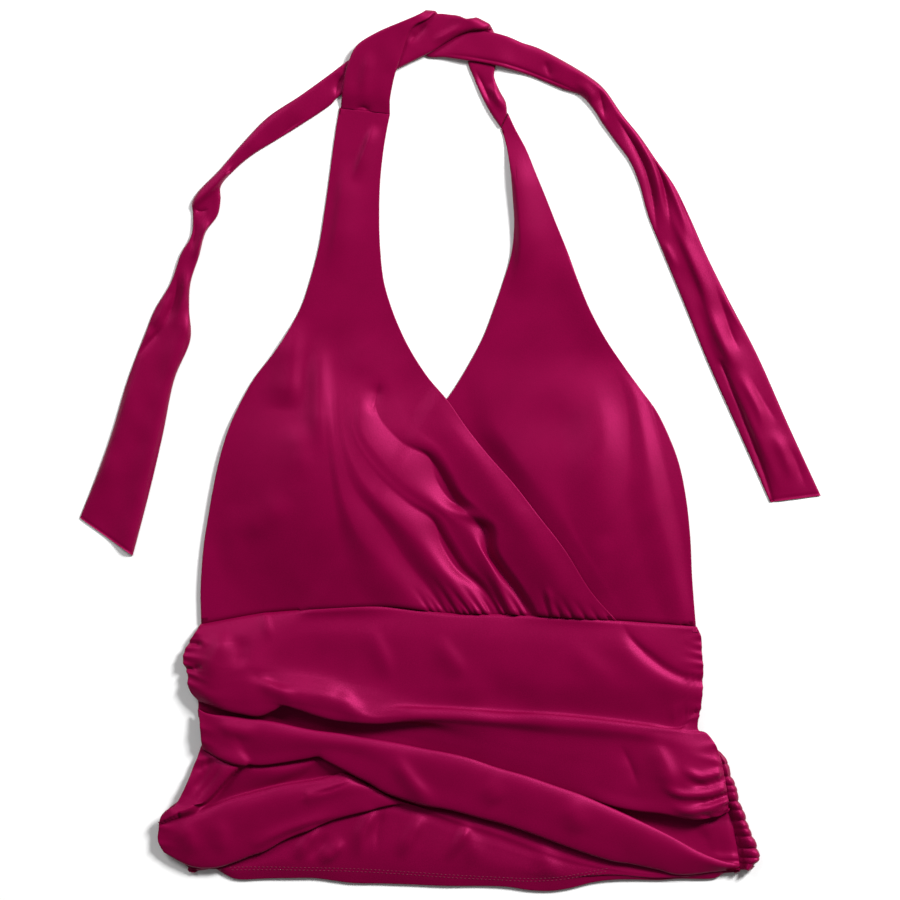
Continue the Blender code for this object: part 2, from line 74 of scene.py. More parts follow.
# Cup sections from the strap's top to the seam: both ends of a line across the cup.
# Each row: outer_x, outer_y, inner_x, inner_y
WRAP_SECTIONS = (
    (-77, 239, -42.5, 235), (-79.5, 224, -45, 222.5), (-82, 206.5, -47.5, 206.5), (-85, 184, -49.5, 185.5),
    (-87.5, 166.5, -50, 166.5), (-91.5, 142, -49.5, 143.5), (-97.5, 119, -47, 119), (-103.5, 101, -42, 101),
    (-112.5, 84, -35.5, 84.5), (-122.5, 68.5, -28, 69.5), (-136, 51, -16, 51), (-145.5, 34.5, -2, 34.5),
    (-154, 16, 11, 16), (-160, -3, 26, -3), (-164.5, -23, 44, -23.5), (-168.5, -45.5, 61, -45.5),
    (-172, -68.5, 79, -68.5), (-174, -98, 98, -98), (-173.5, -121, 115.5, -118),
)
UNDER_SECTIONS = (
    (40.5, 235, 36, 225), (45, 225, 38, 220), (52.5, 211, 40.5, 210), (59.5, 194, 42.5, 194.5),
    (66.5, 177, 44, 176.5), (74, 158, 45, 157.5), (82.5, 137, 43, 136.5), (89.5, 117.5, 37, 116),
    (96.5, 100, 31, 98.5), (107, 80, 24, 80), (121, 59, 13, 59), (133, 42.5, 3, 42.5), (143.5, 28, -7, 28),
    (152, 11, -15.5, 11), (159.5, -9, -25, -9), (164.5, -33, -38, -33), (167.5, -60, -53, -60),
    (169, -91, -73.5, -91), (171.5, -123, -89.5, -111),
)
CUP_STEPS = 15          # rows of points for each section
SEAM_HOLD = (-40.0, -118.0)     # heights where the rows begin to follow the seam, and do so fully

# Fold lines of the front waist panel from the seam down to the hem, each from left to right. Where the
# panel folds back under itself, the next line lies above the one before it.
# Each row: its name, then x, y and height of each point
WAIST_LINES = (
    ("rise", ((-176.5, -126, 4.4), (-154, -124.5, 5.6), (-105, -118, 6.2), (-35, -116.5, 5.6),
        (35, -121, 5.8), (105, -124, 6.2), (147, -128, 5.6), (175, -130.5, 4.2))),
    ("puff_top", ((-183.5, -137, 5.2), (-166.5, -136.5, 8.6), (-140, -134.5, 9.4), (-105, -130, 7.8),
        (-35, -130, 7.4), (35, -134.5, 7.6), (105, -137, 8), (147, -141.5, 7.4), (175.5, -141.5, 5.4))),
    ("puff_valley", ((-186, -147, 6), (-166.5, -150, 10.5), (-140, -150.5, 12.2), (-112, -152.5, 8.6),
        (-73.5, -158, 7.8), (-21, -164, 7.4), (35, -164, 7.6), (91, -162.5, 8.2), (133, -165, 8),
        (157.5, -161, 8.6), (176.5, -154, 6.2))),
    ("puff_slope", ((-182.5, -158, 6.5), (-166.5, -161, 11.5), (-143.5, -157, 12.8), (-129, -160, 11.4),
        (-105, -164.5, 10.8), (-77, -168, 10), (-54.5, -174.5, 9.8), (-35, -177.5, 9), (-21, -179, 8),
        (5.5, -180, 6.8), (32, -182, 6.2), (73, -184, 6), (112.5, -188, 6), (140, -191.5, 6),
        (161, -194, 6), (175.5, -176.5, 6))),
    ("rim", ((-182.5, -164, 7), (-166.5, -166.5, 12), (-143.5, -162.5, 13.4), (-129, -166, 13.2),
        (-105, -171, 13), (-77, -175, 12.6), (-54.5, -183, 12), (-35, -181, 11.2), (-21, -181, 10.6),
        (5.5, -181.5, 9.4), (32, -183.5, 9), (73, -185.5, 8.8), (112.5, -189.5, 8.8), (140, -193, 8.6),
        (161, -195.5, 8.2), (173, -195.5, 6.4))),
    ("ridge", ((-180, -170, 7), (-166.5, -173, 12), (-143.5, -176.5, 13.4), (-129, -175.5, 13.6),
        (-105, -176.5, 13.8), (-77, -182.5, 13.4), (-54.5, -187, 12.8), (-35, -186, 12.2),
        (-16, -186, 11.6), (5.5, -186.5, 11), (32, -188.5, 10.4), (73, -191, 10), (112.5, -194.5, 9.8),
        (140, -198, 9.6), (161, -199.5, 9.2), (179, -198, 7))),
    ("lip", ((-174.5, -175.5, 6.5), (-157, -181.5, 10.5), (-145.5, -184, 11.2), (-133.5, -185.5, 11.4),
        (-123, -181.5, 11.6), (-116, -178, 11.8), (-105.5, -181, 12), (-94, -185, 12), (-81, -188.5, 11.8),
        (-68, -190, 11.4), (-49, -191, 10.8), (-29.5, -189.5, 10), (-16, -189.5, 9.4), (7, -192, 8.4),
        (49, -196.5, 7), (84, -200.5, 7), (119, -204, 7.6), (143.5, -206.5, 8.8), (168, -211.5, 11),
        (187.5, -211.5, 7.5))),
    ("lip_back", ((-175.5, -174.5, 3.8), (-157, -179, 5), (-145.5, -181.5, 5.2), (-133.5, -182.5, 5.2),
        (-123, -178.5, 5.2), (-116, -175, 5.2), (-105.5, -178, 5.2), (-94, -182, 5.2), (-81, -185.5, 5.2),
        (-68, -187.5, 5.2), (-49, -189, 5.2), (-29.5, -190.5, 5.4), (-16, -192.5, 5.8), (7, -199, 5.8),
        (49, -208, 5.4), (84, -214, 6), (119, -221, 7.6), (143.5, -227, 10.6), (168, -228, 12.6),
        (192, -231, 8))),
    ("recess", ((-175.5, -178, 3), (-157, -182.5, 3), (-133.5, -186, 3), (-116, -183.5, 3), (-94, -189, 3),
        (-68, -195.5, 3), (-29.5, -200, 3.4), (7, -207, 4.2), (49, -217, 4.4), (84, -227.5, 5.2),
        (119, -239.5, 7.4), (143.5, -243, 10.4), (168, -243.5, 12), (194, -245, 7.5))),
    ("low_lip", ((-175.5, -180, 2.8), (-147, -187, 2.8), (-116, -190.5, 2.8), (-81, -196.5, 2.8),
        (-49, -202.5, 2.8), (-5, -210.5, 3), (33, -220.5, 3.2), (73, -234, 3.6), (94.5, -241.5, 4.6),
        (110, -247.5, 6.4), (129.5, -251.5, 8.8), (146.5, -253.5, 9.8), (171, -257.5, 9.8),
        (186, -256, 8.5), (194.5, -252.5, 6))),
    ("low_back", ((-175.5, -182.5, 2.6), (-147, -189.5, 2.6), (-116, -193, 2.6), (-81, -199.5, 2.6),
        (-49, -205, 2.6), (-5, -213.5, 2.6), (33, -224, 2.7), (73, -237.5, 2.8), (94.5, -245, 3),
        (110, -248, 3.4), (129.5, -249, 3.8), (146.5, -250.5, 4), (171, -253.5, 4), (186, -252, 3.8),
        (195.5, -251.5, 3.2))),
    ("low_foot", ((-175.5, -186, 2.5), (-147, -193, 2.5), (-116, -196.5, 2.5), (-81, -203, 2.5),
        (-49, -208.5, 2.5), (-5, -217, 2.5), (33, -227.5, 2.5), (73, -241, 2.5), (94.5, -249, 2.5),
        (110, -256, 2.5), (133, -263, 2.6), (153.5, -271.5, 2.8), (173, -280.5, 3), (189, -285, 3),
        (201.5, -285.5, 3))),
    ("band_back", ((-175.5, -185, 4), (-147, -192, 4.4), (-116, -195.5, 4.4), (-81, -201.5, 4.4),
        (-49, -207, 4.4), (-5, -215.5, 4.4), (33, -226, 4.4), (73, -239.5, 4.4), (94.5, -248, 4.4),
        (112.5, -255, 4.4), (133, -264, 4.4), (153.5, -273, 4.4), (173, -283.5, 4), (189, -288.5, 3.8),
        (202, -288.5, 3.6))),
    ("band_top", ((-175.5, -181.5, 6), (-170, -184, 7.6), (-150, -186.5, 8.4), (-123, -190, 8.8),
        (-96, -195.5, 9), (-76.5, -198, 9), (-63, -200.5, 9), (-35.5, -205, 9), (-16, -209, 9),
        (-5, -211, 9), (12.5, -215, 8.8), (32, -221.5, 8.6), (52.5, -227.5, 8.4), (73, -234.5, 8.2),
        (93, -241.5, 8), (112.5, -250, 7.8), (133, -259.5, 7.6), (153.5, -269.5, 7.2), (173, -280.5, 6.4),
        (189, -287, 5.6), (202.5, -290, 4.4))),
    ("band_crest", ((-174.5, -188.5, 8), (-150, -193, 10.8), (-123, -196.5, 11.2), (-96, -201, 11.2),
        (-63, -205, 11.2), (-35.5, -210, 11.2), (-5, -216.5, 11), (32, -227, 10.6), (73, -240, 10.2),
        (112.5, -255.5, 9.8), (133, -265.5, 9.4), (153.5, -275, 8.6), (173, -284, 7.6), (189, -290, 6.4),
        (202.5, -291, 4.6))),
    ("band_fall", ((-173.5, -200, 8), (-150, -208.5, 9.6), (-132.5, -211.5, 9.4), (-116, -210, 9.6),
        (-92.5, -208.5, 10.2), (-63, -213.5, 10.4), (-35.5, -225.5, 10.6), (-5, -236, 10.4),
        (32, -246.5, 9.8), (73, -261, 9.4), (112.5, -275, 8.6), (143.5, -285.5, 7.4), (173, -291, 6),
        (189, -292.5, 5), (202.5, -292, 4))),
    ("band_lip", ((-172.5, -208.5, 5.5), (-160.5, -214, 7.6), (-143, -219, 8), (-132.5, -220, 8),
        (-116, -218, 8), (-101, -215.5, 8.2), (-91.5, -214, 8.4), (-87, -216.5, 8.6), (-76.5, -222, 8.6),
        (-65, -228, 8.6), (-56, -232.5, 8.6), (-47, -238, 8.6), (-35.5, -242.5, 8.6), (-16, -248, 8.4),
        (0, -251, 8.2), (19, -256, 8), (39, -261.5, 7.8), (59.5, -268.5, 7.4), (79, -276, 7),
        (99.5, -283, 6.4), (115.5, -287.5, 5.8), (126, -289, 5.4), (146.5, -293.5, 4.6), (159.5, -296.5, 4),
        (202.5, -292.5, 3.4))),
    ("band_under", ((-173, -206.5, 3.6), (-160.5, -211.5, 4.2), (-143, -216.5, 4.4), (-132.5, -217, 4.4),
        (-116, -215, 4.4), (-101, -213, 4.4), (-91.5, -212, 4.4), (-76.5, -219, 4.4), (-65, -224.5, 4.4),
        (-47, -234.5, 4.4), (-35.5, -239.5, 4.4), (0, -248, 4.2), (39, -258.5, 4), (79, -273, 3.8),
        (115.5, -284, 3.4), (146.5, -292, 3), (159.5, -295.5, 2.8), (202.5, -293, 2.6))),
    ("dark", ((-177, -217, 4), (-160.5, -220.5, 4.4), (-143, -223.5, 5.8), (-116, -224, 6.2),
        (-101, -220.5, 5.8), (-91.5, -217.5, 5.2), (-76.5, -222.5, 4.2), (-65, -228, 3), (-47, -238, 3),
        (-35.5, -243, 3), (0, -251.5, 3), (39, -262, 3), (79, -276.5, 3), (115.5, -287.5, 2.9),
        (146.5, -294.5, 2.8), (159.5, -297, 2.6), (202.5, -293, 2.5))),
    ("dark_foot", ((-192, -248.5, 3.4), (-170, -247, 2.8), (-143, -239.5, 2.8), (-116, -233, 2.8),
        (-96, -230, 2.8), (-82.5, -227.5, 2.9), (-71.5, -225.5, 3), (-65, -229, 3), (-47, -239.5, 3),
        (-35.5, -244, 3), (0, -252, 3), (39, -262.5, 3), (79, -277, 3), (115.5, -288.5, 2.9),
        (146.5, -294.5, 2.7), (159.5, -297, 2.6), (202.5, -293, 2.5))),
    ("c_edge", ((-201, -256, 5), (-192, -256.5, 5.6), (-183.5, -255, 6), (-170, -251.5, 6.2),
        (-157, -246, 6.2), (-143, -242, 6.2), (-129.5, -238.5, 6.2), (-116, -235, 6.2), (-96, -232, 6),
        (-82.5, -230, 5.6), (-71.5, -228, 5), (-65, -230, 4), (-47, -240, 3.4), (-35.5, -244.5, 3.2),
        (0, -252.5, 3.1), (39, -263, 3), (79, -278, 3), (115.5, -289, 2.8), (146.5, -295, 2.7),
        (159.5, -297.5, 2.6), (202.5, -293.5, 2.5))),
    ("c_crest", ((-203, -264.5, 6), (-183.5, -262, 8.2), (-157, -253.5, 8.4), (-129.5, -245.5, 8.4),
        (-96, -238, 8), (-71.5, -234, 7.2), (-56, -236, 6), (-35.5, -245.5, 4), (0, -254, 3.6),
        (39, -265.5, 3.4), (79, -280, 3.2), (115.5, -290.5, 2.9), (146.5, -296, 2.7),
        (202.5, -293.5, 2.5))),
    ("c_fall", ((-203.5, -273, 5.5), (-183.5, -276, 7.4), (-157, -271.5, 7.8), (-129.5, -262.5, 7.6),
        (-105, -253.5, 7.4), (-71.5, -243, 7.2), (-49, -241.5, 6.4), (-32, -246.5, 4.4), (0, -255.5, 4),
        (39, -267.5, 3.8), (79, -282, 3.4), (115.5, -292, 3), (146.5, -296.5, 2.8), (202.5, -293.5, 2.5))),
    ("c_lip", ((-199, -281.5, 4.4), (-180, -291, 5), (-164, -291.5, 5.4), (-150, -287.5, 5.6),
        (-138.5, -283, 5.8), (-129.5, -280, 5.8), (-116, -272.5, 6), (-96, -264, 6), (-82.5, -258.5, 6),
        (-63, -253, 6), (-42.5, -248, 5.6), (-31, -247, 4.6), (0, -257.5, 4.2), (39, -270, 4),
        (79, -285, 3.6), (115.5, -293.5, 3.1), (146.5, -297, 2.8), (202.5, -293.5, 2.5))),
    ("c_under", ((-196.5, -281.5, 2.8), (-179, -290, 2.9), (-164, -288.5, 3), (-150, -284, 3.1),
        (-129.5, -277, 3.2), (-116, -269.5, 3.3), (-96, -261, 3.4), (-82.5, -255.5, 3.4),
        (-63, -250.5, 3.4), (-42.5, -247, 3.4), (-31, -249, 3.4), (0, -260.5, 3.6), (39, -273.5, 3.6),
        (79, -287.5, 3.4), (115.5, -294.5, 3), (146.5, -297.5, 2.8), (202.5, -294, 2.5))),
    ("hem_top", ((-190.5, -286, 2.5), (-176.5, -292, 2.5), (-161, -292, 2.6), (-143.5, -288.5, 2.7),
        (-126, -282, 2.8), (-112, -275, 3), (-94, -267.5, 3.2), (-77, -262, 3.4), (-56, -257.5, 3.6),
        (-35, -255.5, 3.8), (0, -269, 4.2), (39, -280.5, 4.2), (79, -292, 3.6), (115.5, -295.5, 3),
        (146.5, -298, 2.8), (202.5, -294, 2.4))),
    ("hem_bulge", ((-183.5, -291, 2.4), (-168, -292.5, 2.5), (-150.5, -293, 2.8), (-129.5, -290, 3.2),
        (-105, -284, 3.8), (-77, -278.5, 4.2), (-35, -278.5, 4.6), (0, -285, 4.6), (39, -291, 4.2),
        (79, -297.5, 3.4), (115.5, -296.5, 2.9), (146.5, -299, 2.7), (202.5, -294, 2.3))),
    ("stitch", ((-180.5, -293.5, 2.2), (-166.5, -292, 2.3), (-150, -295.5, 2.5), (-129.5, -293.5, 2.8),
        (-105, -292.5, 3), (-65, -293.5, 3.2), (-21, -296, 3.2), (19, -297.5, 3), (56, -299.5, 2.8),
        (79, -300.5, 2.6), (105, -296, 2.5), (133, -298, 2.5), (159.5, -298, 2.4), (202.5, -294.5, 2.2))),
    ("hem", ((-180, -294, 1.4), (-173.5, -293.5, 1.4), (-164.5, -292.5, 1.4), (-158, -296, 1.4),
        (-152, -299, 1.4), (-146.5, -300, 1.4), (-131.5, -299.5, 1.4), (-113.5, -299, 1.4),
        (-95, -299, 1.4), (-80, -301, 1.4), (-68, -302.5, 1.4), (-41.5, -303, 1.4), (-2, -304.5, 1.4),
        (39, -305, 1.4), (56, -307.5, 1.4), (70.5, -308, 1.4), (84, -306, 1.4), (100, -302, 1.4),
        (117, -300, 1.4), (147, -300.5, 1.4), (159.5, -299.5, 1.4), (185.5, -299, 1.4), (191, -296, 1.4),
        (202.5, -294.5, 1.4))),
)

# Outline of the back waist panel from the seam to the hem. Where its edge rolls to the front,
# seam_x is the side seam that it reaches, and None above that.
# Each row: height, left_x, right_x, seam_x
BACK_OUTLINE = (
    (-124.5, -172, 170, None), (-133, -179, 173, None), (-140, -182, 174.5, None),
    (-150.5, -182.5, 175, None), (-168, -179, 175.5, None), (-176, -172.5, 172.5, None),
    (-190, -172.5, 169.5, None), (-197, -172, 173, None), (-203, -171.5, 181, None),
    (-208, -171.5, 185, None), (-213, -171.5, 191, 186), (-219, -175, 194.5, 189),
    (-226, -179.5, 196, 190.2), (-235, -180.5, 200, 192.5), (-245, -189, 202, 194.5),
    (-253, -198, 205.5, 196.5), (-265, -200.5, 209.5, 199.5), (-275, -202, 214, 202.5),
    (-280, -199, 215.5, 203.5), (-286, -189, 216.5, 204.5), (-293, -174, 209, 205),
)
ROLL_HEIGHT = 7.6       # how high the rolled edge stands
ROLL_TOP = -208.0
ROLL_START = 9.0        # stretch below its top on which it rolls up
ROLL_TUCK = 3.0         # how far its sewn edge runs on under the front panel
ROLL_WIDTH = 3.2        # how far inside its outer edge it leaves the flat cloth
FLAT_SEAM = 5.0         # how far inside the outer edge the side seam lies where nothing rolls
# Where the gathering thread pulls the rolled edge in, how deep and how wide
ROLL_PULLS = (
    (-213, 1.6, 2.2), (-219.5, 1.8, 1.8), (-228.2, 2.4, 1.6), (-234.5, 2, 1.4), (-239, 1.2, 1.2),
    (-245.5, 2.4, 1.6), (-251.5, 1.6, 1.4), (-259, 2.6, 1.6), (-264.5, 1.2, 1.2), (-270, 2.4, 1.6),
    (-278.5, 2.6, 1.7), (-285, 1.8, 1.5), (-289.5, 1.6, 1.4),
)
# Height of the sewn edge beside the front panel, from its top down
ROLL_SEAM = (
    (-203, 5), (-213, 6.6), (-231, 7), (-245, 6.4), (-252, 4.8), (-258, 3.4), (-284, 3.2), (-291, 3.4),
)

# Sections of the ties, from the seam on the strap to the cut end: both edges of the tie.
# The left tie climbs, folds back behind the right one and runs off to the right. The right tie
# climbs behind it, folds over its top edge, passes under the left tie and runs off to the left.
# Each row: left_x, left_y, left_z, right_x, right_y, right_z
TIE_LEFT = (
    (-76.5, 238.8, 0.8, -42, 234.8, 0.8), (-75.5, 249, 3.4, -42, 244.5, 3.2),
    (-74, 260.5, 4, -40.5, 253.5, 4.6), (-71, 271.5, 4.6, -38, 264, 5.6), (-65, 283, 5.2, -33.5, 277, 6.2),
    (-51, 292, 5.8, -29.5, 289, 6.6), (-33.5, 299.5, 6.4, -23.5, 297, 6.6),
    (-22.5, 304, 6.4, -15, 301, 6.4), (-18, 305.6, 3.8, -9.5, 305, 3.8), (-18, 303.5, 1, -7, 301.5, 1),
    (-21, 290, 0.9, 1.5, 296, 0.9), (-17.5, 276, 0.9, 9.5, 294, 1.7), (-3, 274.5, 2.4, 16, 294, 3),
    (10, 272.5, 3.3, 22, 293.5, 3.2), (21, 271, 3.4, 30.5, 292, 3.3), (33, 268.5, 3.3, 41, 289, 3.2),
    (44, 265.5, 2.2, 50.5, 285, 2.2), (55.5, 262, 1, 61.5, 281.5, 1), (78.5, 252.5, 0.8, 84.5, 269.5, 0.8),
    (91.5, 248, 0.8, 101, 259, 0.8), (99.5, 239.5, 0.8, 109, 251.5, 0.8), (107, 228, 0.8, 120.5, 235, 0.8),
    (116, 215.5, 0.8, 133, 219.5, 0.8), (125.5, 202.5, 0.8, 144, 203.5, 0.8),
    (132.5, 186, 0.8, 157, 185, 0.8), (138.5, 164.5, 0.8, 168, 162.5, 0.8),
    (148.5, 139.5, 0.8, 178.5, 138.5, 0.8), (164, 102, 0.8, 194, 107, 0.8),
    (181.5, 59, 0.8, 215, 66.5, 0.8), (203, 11, 0.8, 236.5, 18, 0.8), (224, -36.5, 0.8, 259.5, -32, 0.8),
)
TIE_RIGHT = (
    (35.5, 225.4, 0.8, 40, 235.4, 0.8), (28, 236.5, 0.9, 39, 243.5, 0.9), (21.5, 249, 0.9, 34.5, 252, 0.9),
    (17, 259.5, 0.8, 31, 261, 0.8), (12.5, 271.5, 0.8, 32, 269, 0.8), (14.5, 281.5, 0.8, 33.5, 280, 0.8),
    (15.5, 290.5, 0.8, 33, 286.5, 0.8), (16, 296.5, 0.9, 31.5, 291, 0.9), (16, 300.5, 2.6, 29, 294.5, 2.6),
    (12.5, 301, 4.3, 26, 293.5, 4.3), (6.5, 303.5, 4.4, 17, 293, 4.4), (-0.5, 304.5, 4.2, 7.5, 290.5, 4.2),
    (-9, 305, 3.9, -3.5, 284.5, 4), (-20.5, 302, 3.6, -12.5, 278.5, 3.8), (-34.5, 294, 3.2, -24, 273, 3.5),
    (-49, 286, 2.8, -38.5, 265.5, 3), (-61.5, 278, 2.2, -56, 254.5, 2), (-71.5, 272.5, 1.3, -76.5, 248, 1),
    (-83.5, 263.5, 0.8, -84, 241, 0.8), (-105, 248, 0.8, -105, 227, 0.8),
    (-127.5, 233, 0.8, -122, 216.5, 0.8), (-145, 215, 0.8, -138, 206.5, 0.8),
    (-161, 196.5, 0.8, -150.5, 196, 0.8), (-176.5, 180.5, 0.8, -160.5, 184, 0.8),
    (-180.5, 173, 0.8, -160.5, 175, 0.8), (-180, 165, 0.8, -162.5, 164.5, 0.8),
    (-181, 150.5, 0.8, -171, 152, 0.8), (-188.5, 137, 0.8, -175.5, 136, 0.8),
    (-195.5, 117, 0.8, -181.5, 117, 0.8), (-206.5, 98.5, 0.8, -182.5, 98.5, 0.8),
    (-213, 82.5, 0.8, -181.5, 78.5, 0.8), (-225.5, 49.5, 0.8, -193, 49, 0.8),
    (-236.5, 12.5, 0.8, -201, 10.5, 0.8), (-247, -17, 0.8, -210, -28, 0.8),
    (-259, -47.5, 0.8, -222, -74, 0.8),
)

# Creases: height (a trough is below 0), how wide it is to the left and to the right of its path as
# one goes along it, the path, and which of its ends fade away where that isn't both
WRAP_CREASES = (
    (1.2, 2.5, 2.5, ((67, -94), (69.5, -105), (70.5, -115)), "start"),
    (3.6, 8, 14, ((-103, 94), (-110, 70.5), (-112.5, 43.5), (-113.5, 26.5))),
    (3.2, 8, 8, ((-91, 84), (-91.5, 63), (-91.5, 35), (-91, 14), (-88, -8.5))),
    (1.2, 8, 10, ((-108, 21), (-105, 0), (-103.5, -25))),
    (1.4, 9, 12, ((-110.5, -32), (-122, -42), (-136, -53), (-148.5, -63))),
    (1.6, 16, 12, ((-80, 76), (-64, 64), (-48, 52), (-36, 38))),
    (-1.6, 3.5, 4, ((-49.5, 47.5), (-52, 36.5), (-55.5, 24))),
    (2.2, 6, 3, ((-52, 229), (-55, 221), (-59, 210), (-63.5, 198), (-67, 186))),
    (2.4, 13, 5, ((-73, 206), (-75, 180), (-79, 150), (-86, 118))),
    (1, 9, 9, ((-148.5, -35), (-151, -63), (-150, -98))),
)
UNDER_CREASES = (
    (1.2, 8, 10, ((106.5, -56), (105, -77), (103.5, -109))),
    (5.6, 17, 5, ((37.5, 222), (42, 206.5), (46, 189), (48.5, 169.5), (50, 147), (48.5, 126), (42, 105))),
    (2.2, 3, 14, ((77, 147), (84, 129), (94, 106), (106, 82), (117, 62))),
)
CREASE_REACH = 2.6      # how many of its widths a crease is worked out on either side
SHARP_WIDTH = 7.0       # a trough narrower than this is sharp at the bottom
SHARP_FALL = 1.3        # how fast a sharp trough falls off, for each of its widths
FADE_SHARE = 0.4        # share of the path on which an end fades away

# Folds of the wrap, which run down to the right into the gathers: lines from the top down to the seam,
# in order from the lower left to the upper right. How sharp the crease is there (0 round, 1 sharp), then
# x, y and how far the cloth is raised or sunk
WRAP_LINES = (
    ("outside", 0, ((-92.5, 59, 0), (-87, 7, 0), (-82.5, -28, 0), (-77, -63, 0), (-68.5, -94.5, 0),
        (-54.5, -111.5, 0), (-50.5, -117.5, 0))),
    ("third_crest", 0, ((-85.5, 57.5, 0.2), (-81, 7, 0.7), (-75.5, -28, 1.4), (-64.5, -56, 2.8),
        (-47.5, -80.5, 3.2), (-31, -102, 2.8), (-19.5, -117.5, 1.6))),
    ("third_foot", 0.3, ((-81, 57.5, 0.3), (-77, 7, 0.8), (-68.5, -24, 1.1), (-47.5, -52, 1),
        (-29.5, -78.5, 0.5), (-12.5, -99.5, 0.1), (0, -119, 0))),
    ("second_crest", 0, ((-76.5, 57.5, 0.4), (-73.5, 8.5, 1.2), (-61.5, -19.5, 2.4), (-43.5, -40.5, 4),
        (-24, -61.5, 4.8), (-7, -84, 4.8), (7, -101.5, 3.8), (21, -119, 2.2))),
    ("second_foot", 1, ((-71.5, 56.5, 0.6), (-68.5, 11, 1.6), (-50.5, -17.5, 2.4), (-29.5, -36.5, 1.8),
        (-12.5, -48.5, 0), (-4, -66, -2.4), (7, -83.5, -2.6), (22.5, -96.5, -1.4), (35, -119, -0.4))),
    ("second_rise", 0.2, ((-68.5, 56.5, 0.6), (-66, 11, 2), (-46, -17, 2.8), (-25, -34.5, 2.4),
        (-7, -46, 2.6), (3, -63, 2.6), (14, -80, 2.4), (28, -95, 1.8), (38.5, -119, 0.8))),
    ("main_crest", 0, ((-63, 57.5, 0.4), (-62.5, 33.5, 2.2), (-61, 14, 2.8), (-46, -7.5, 3.4),
        (-29.5, -24, 3.2), (-10, -38.5, 3.2), (10, -54.5, 3.8), (22.5, -71.5, 4.4), (33.5, -92.5, 4.2),
        (46, -119, 2.4))),
    ("main_foot", 1, ((-52, 59, -0.2), (-49.5, 43.5, -0.6), (-51, 26.5, 0.8), (-33.5, 5.5, 1.2),
        (-15.5, -4, -0.4), (-4, -24, -2.6), (4, -36.5, -2.2), (14, -46, 3.6), (25, -55.5, -2.2),
        (26.5, -71.5, -2.6), (35, -84.5, -2.2), (46, -99.5, -1.4), (57.5, -119, -0.4))),
    ("band_foot", 0, ((-43.5, 60, 0.2), (-38, 33.5, 1), (-24, 13.5, 2.2), (-8.5, 1.5, 3.4), (3, -17, 4.2),
        (10.5, -31, 4.6), (21, -40.5, 5), (33, -52, 5.2), (34.5, -68.5, 5), (42.5, -82, 4.4),
        (54, -98, 3.4), (66.5, -119, 1.6))),
    ("band_crest", 0, ((-26.5, 54.5, 0.4), (-8.5, 26.5, 2), (4, 10, 3.8), (15.5, -5, 4.8),
        (27.5, -22.5, 5.4), (40, -41.5, 5.8), (54, -63.5, 5.6), (66, -82, 5.2), (75, -98, 4.2),
        (87, -119, 2.2))),
    ("band_edge", 0, ((-14, 60, 0), (3, 38, 0.4), (14.5, 20.5, 1.2), (31.5, -1.5, 1.6), (49, -22.5, 1.8),
        (63.5, -42, 1.8), (80, -61, 1.6), (94, -83.5, 1.2), (105, -100, 0.8), (122, -119, 0.2))),
)

# Folds of the lower cup in the same way, from the wrap's edge to the armhole
UNDER_LINES = (
    ("hidden", 0, ((-14, 66, 0), (-7, 17, 0), (4, -8.5, 0), (22.5, -33.5, 0), (52, -70, 0), (87, -106.5, 0),
        (99.5, -122.5, 0))),
    ("under_wrap", 0, ((5.5, 66, 0), (14.5, 18, -1), (26.5, -4, -3.6), (43.5, -28, -2.2), (70, -66.5, -0.4),
        (101, -105, 0), (112, -122.5, 0))),
    ("edge_rise", 0, ((24, 68.5, 1.2), (32, 19.5, 1), (42, 3.5, 0.7), (59, -21, 0.5), (85.5, -60, 0.2),
        (112, -99.5, 0.1), (124.5, -122.5, 0))),
    ("inside", 0, ((56, 70, 0.6), (68.5, 40.5, 0.3), (75.5, 18, -1.6), (78.5, -14, -1), (88, -56, -0.2),
        (110.5, -96.5, 0), (127.5, -122.5, 0))),
    ("first_crest", 0, ((89.5, 70, 0.5), (99.5, 46, 0.9), (105, 24, 2.2), (106.5, 3, 2.5),
        (103.5, -19.5, 2), (109, -49, 1), (123, -87.5, 0.5), (140, -122.5, 0.1))),
    ("first_foot", 0, ((109, 66, 0.4), (120.5, 42, 0.3), (124.5, 21, 0.1), (124.5, -4, -0.2),
        (123, -28, 0.1), (127.5, -56, 0.3), (137, -91, 0.3), (150, -122.5, 0))),
    ("second_crest", 0, ((116, 63, 0.5), (127.5, 42, 1.4), (133.5, 17.5, 2.2), (138.5, -10.5, 2.8),
        (143, -38.5, 3), (150.5, -66.5, 2.7), (158, -98, 2), (162.5, -122.5, 1))),
    ("second_foot", 0, ((127.5, 60, 0), (138.5, 38, 0.2), (145, 14, 0.1), (152, -14, 0), (159, -42, 0),
        (165, -70, 0), (169.5, -101.5, 0), (173.5, -122.5, 0))),
)

# The wrap is gathered into the seam: where each pleat meets it, how deep and wide its crease is,
# how far it runs up the cup and how far it leans to the left on the way.
# Each row: x, depth, width, reach, lean
PLEATS = (
    (-14, 1.1, 1.4, 12, 0.7), (-8.5, 1, 1.2, 8, 0.6), (-3, 1.3, 1.5, 14, 0.7), (1, 1.1, 1.1, 8, 0.5),
    (5, 1.4, 1.4, 18, 0.7), (10, 1.3, 1.3, 10, 0.6), (14.5, 1.9, 1.6, 20, 0.8), (17.5, 1.4, 1.1, 9, 0.5),
    (23, 1.9, 1.5, 18, 0.7), (29.5, 2.4, 1.6, 16, 0.6), (34.5, 2.2, 1.4, 14, 0.5), (40, 2.1, 1.5, 16, 0.6),
    (49.5, 2.1, 1.5, 18, 0.6), (56, 2.4, 1.4, 22, 0.5), (59, 1.6, 1.2, 10, 0.4), (70, 1.6, 1.5, 16, 0.3),
    (78, 1.4, 1.3, 10, 0.5), (86, 1.4, 1.4, 12, 0.6), (95, 1.3, 1.3, 10, 0.6), (103.5, 1.1, 1.2, 8, 0.6),
    (112, 1, 1.2, 7, 0.5),
)
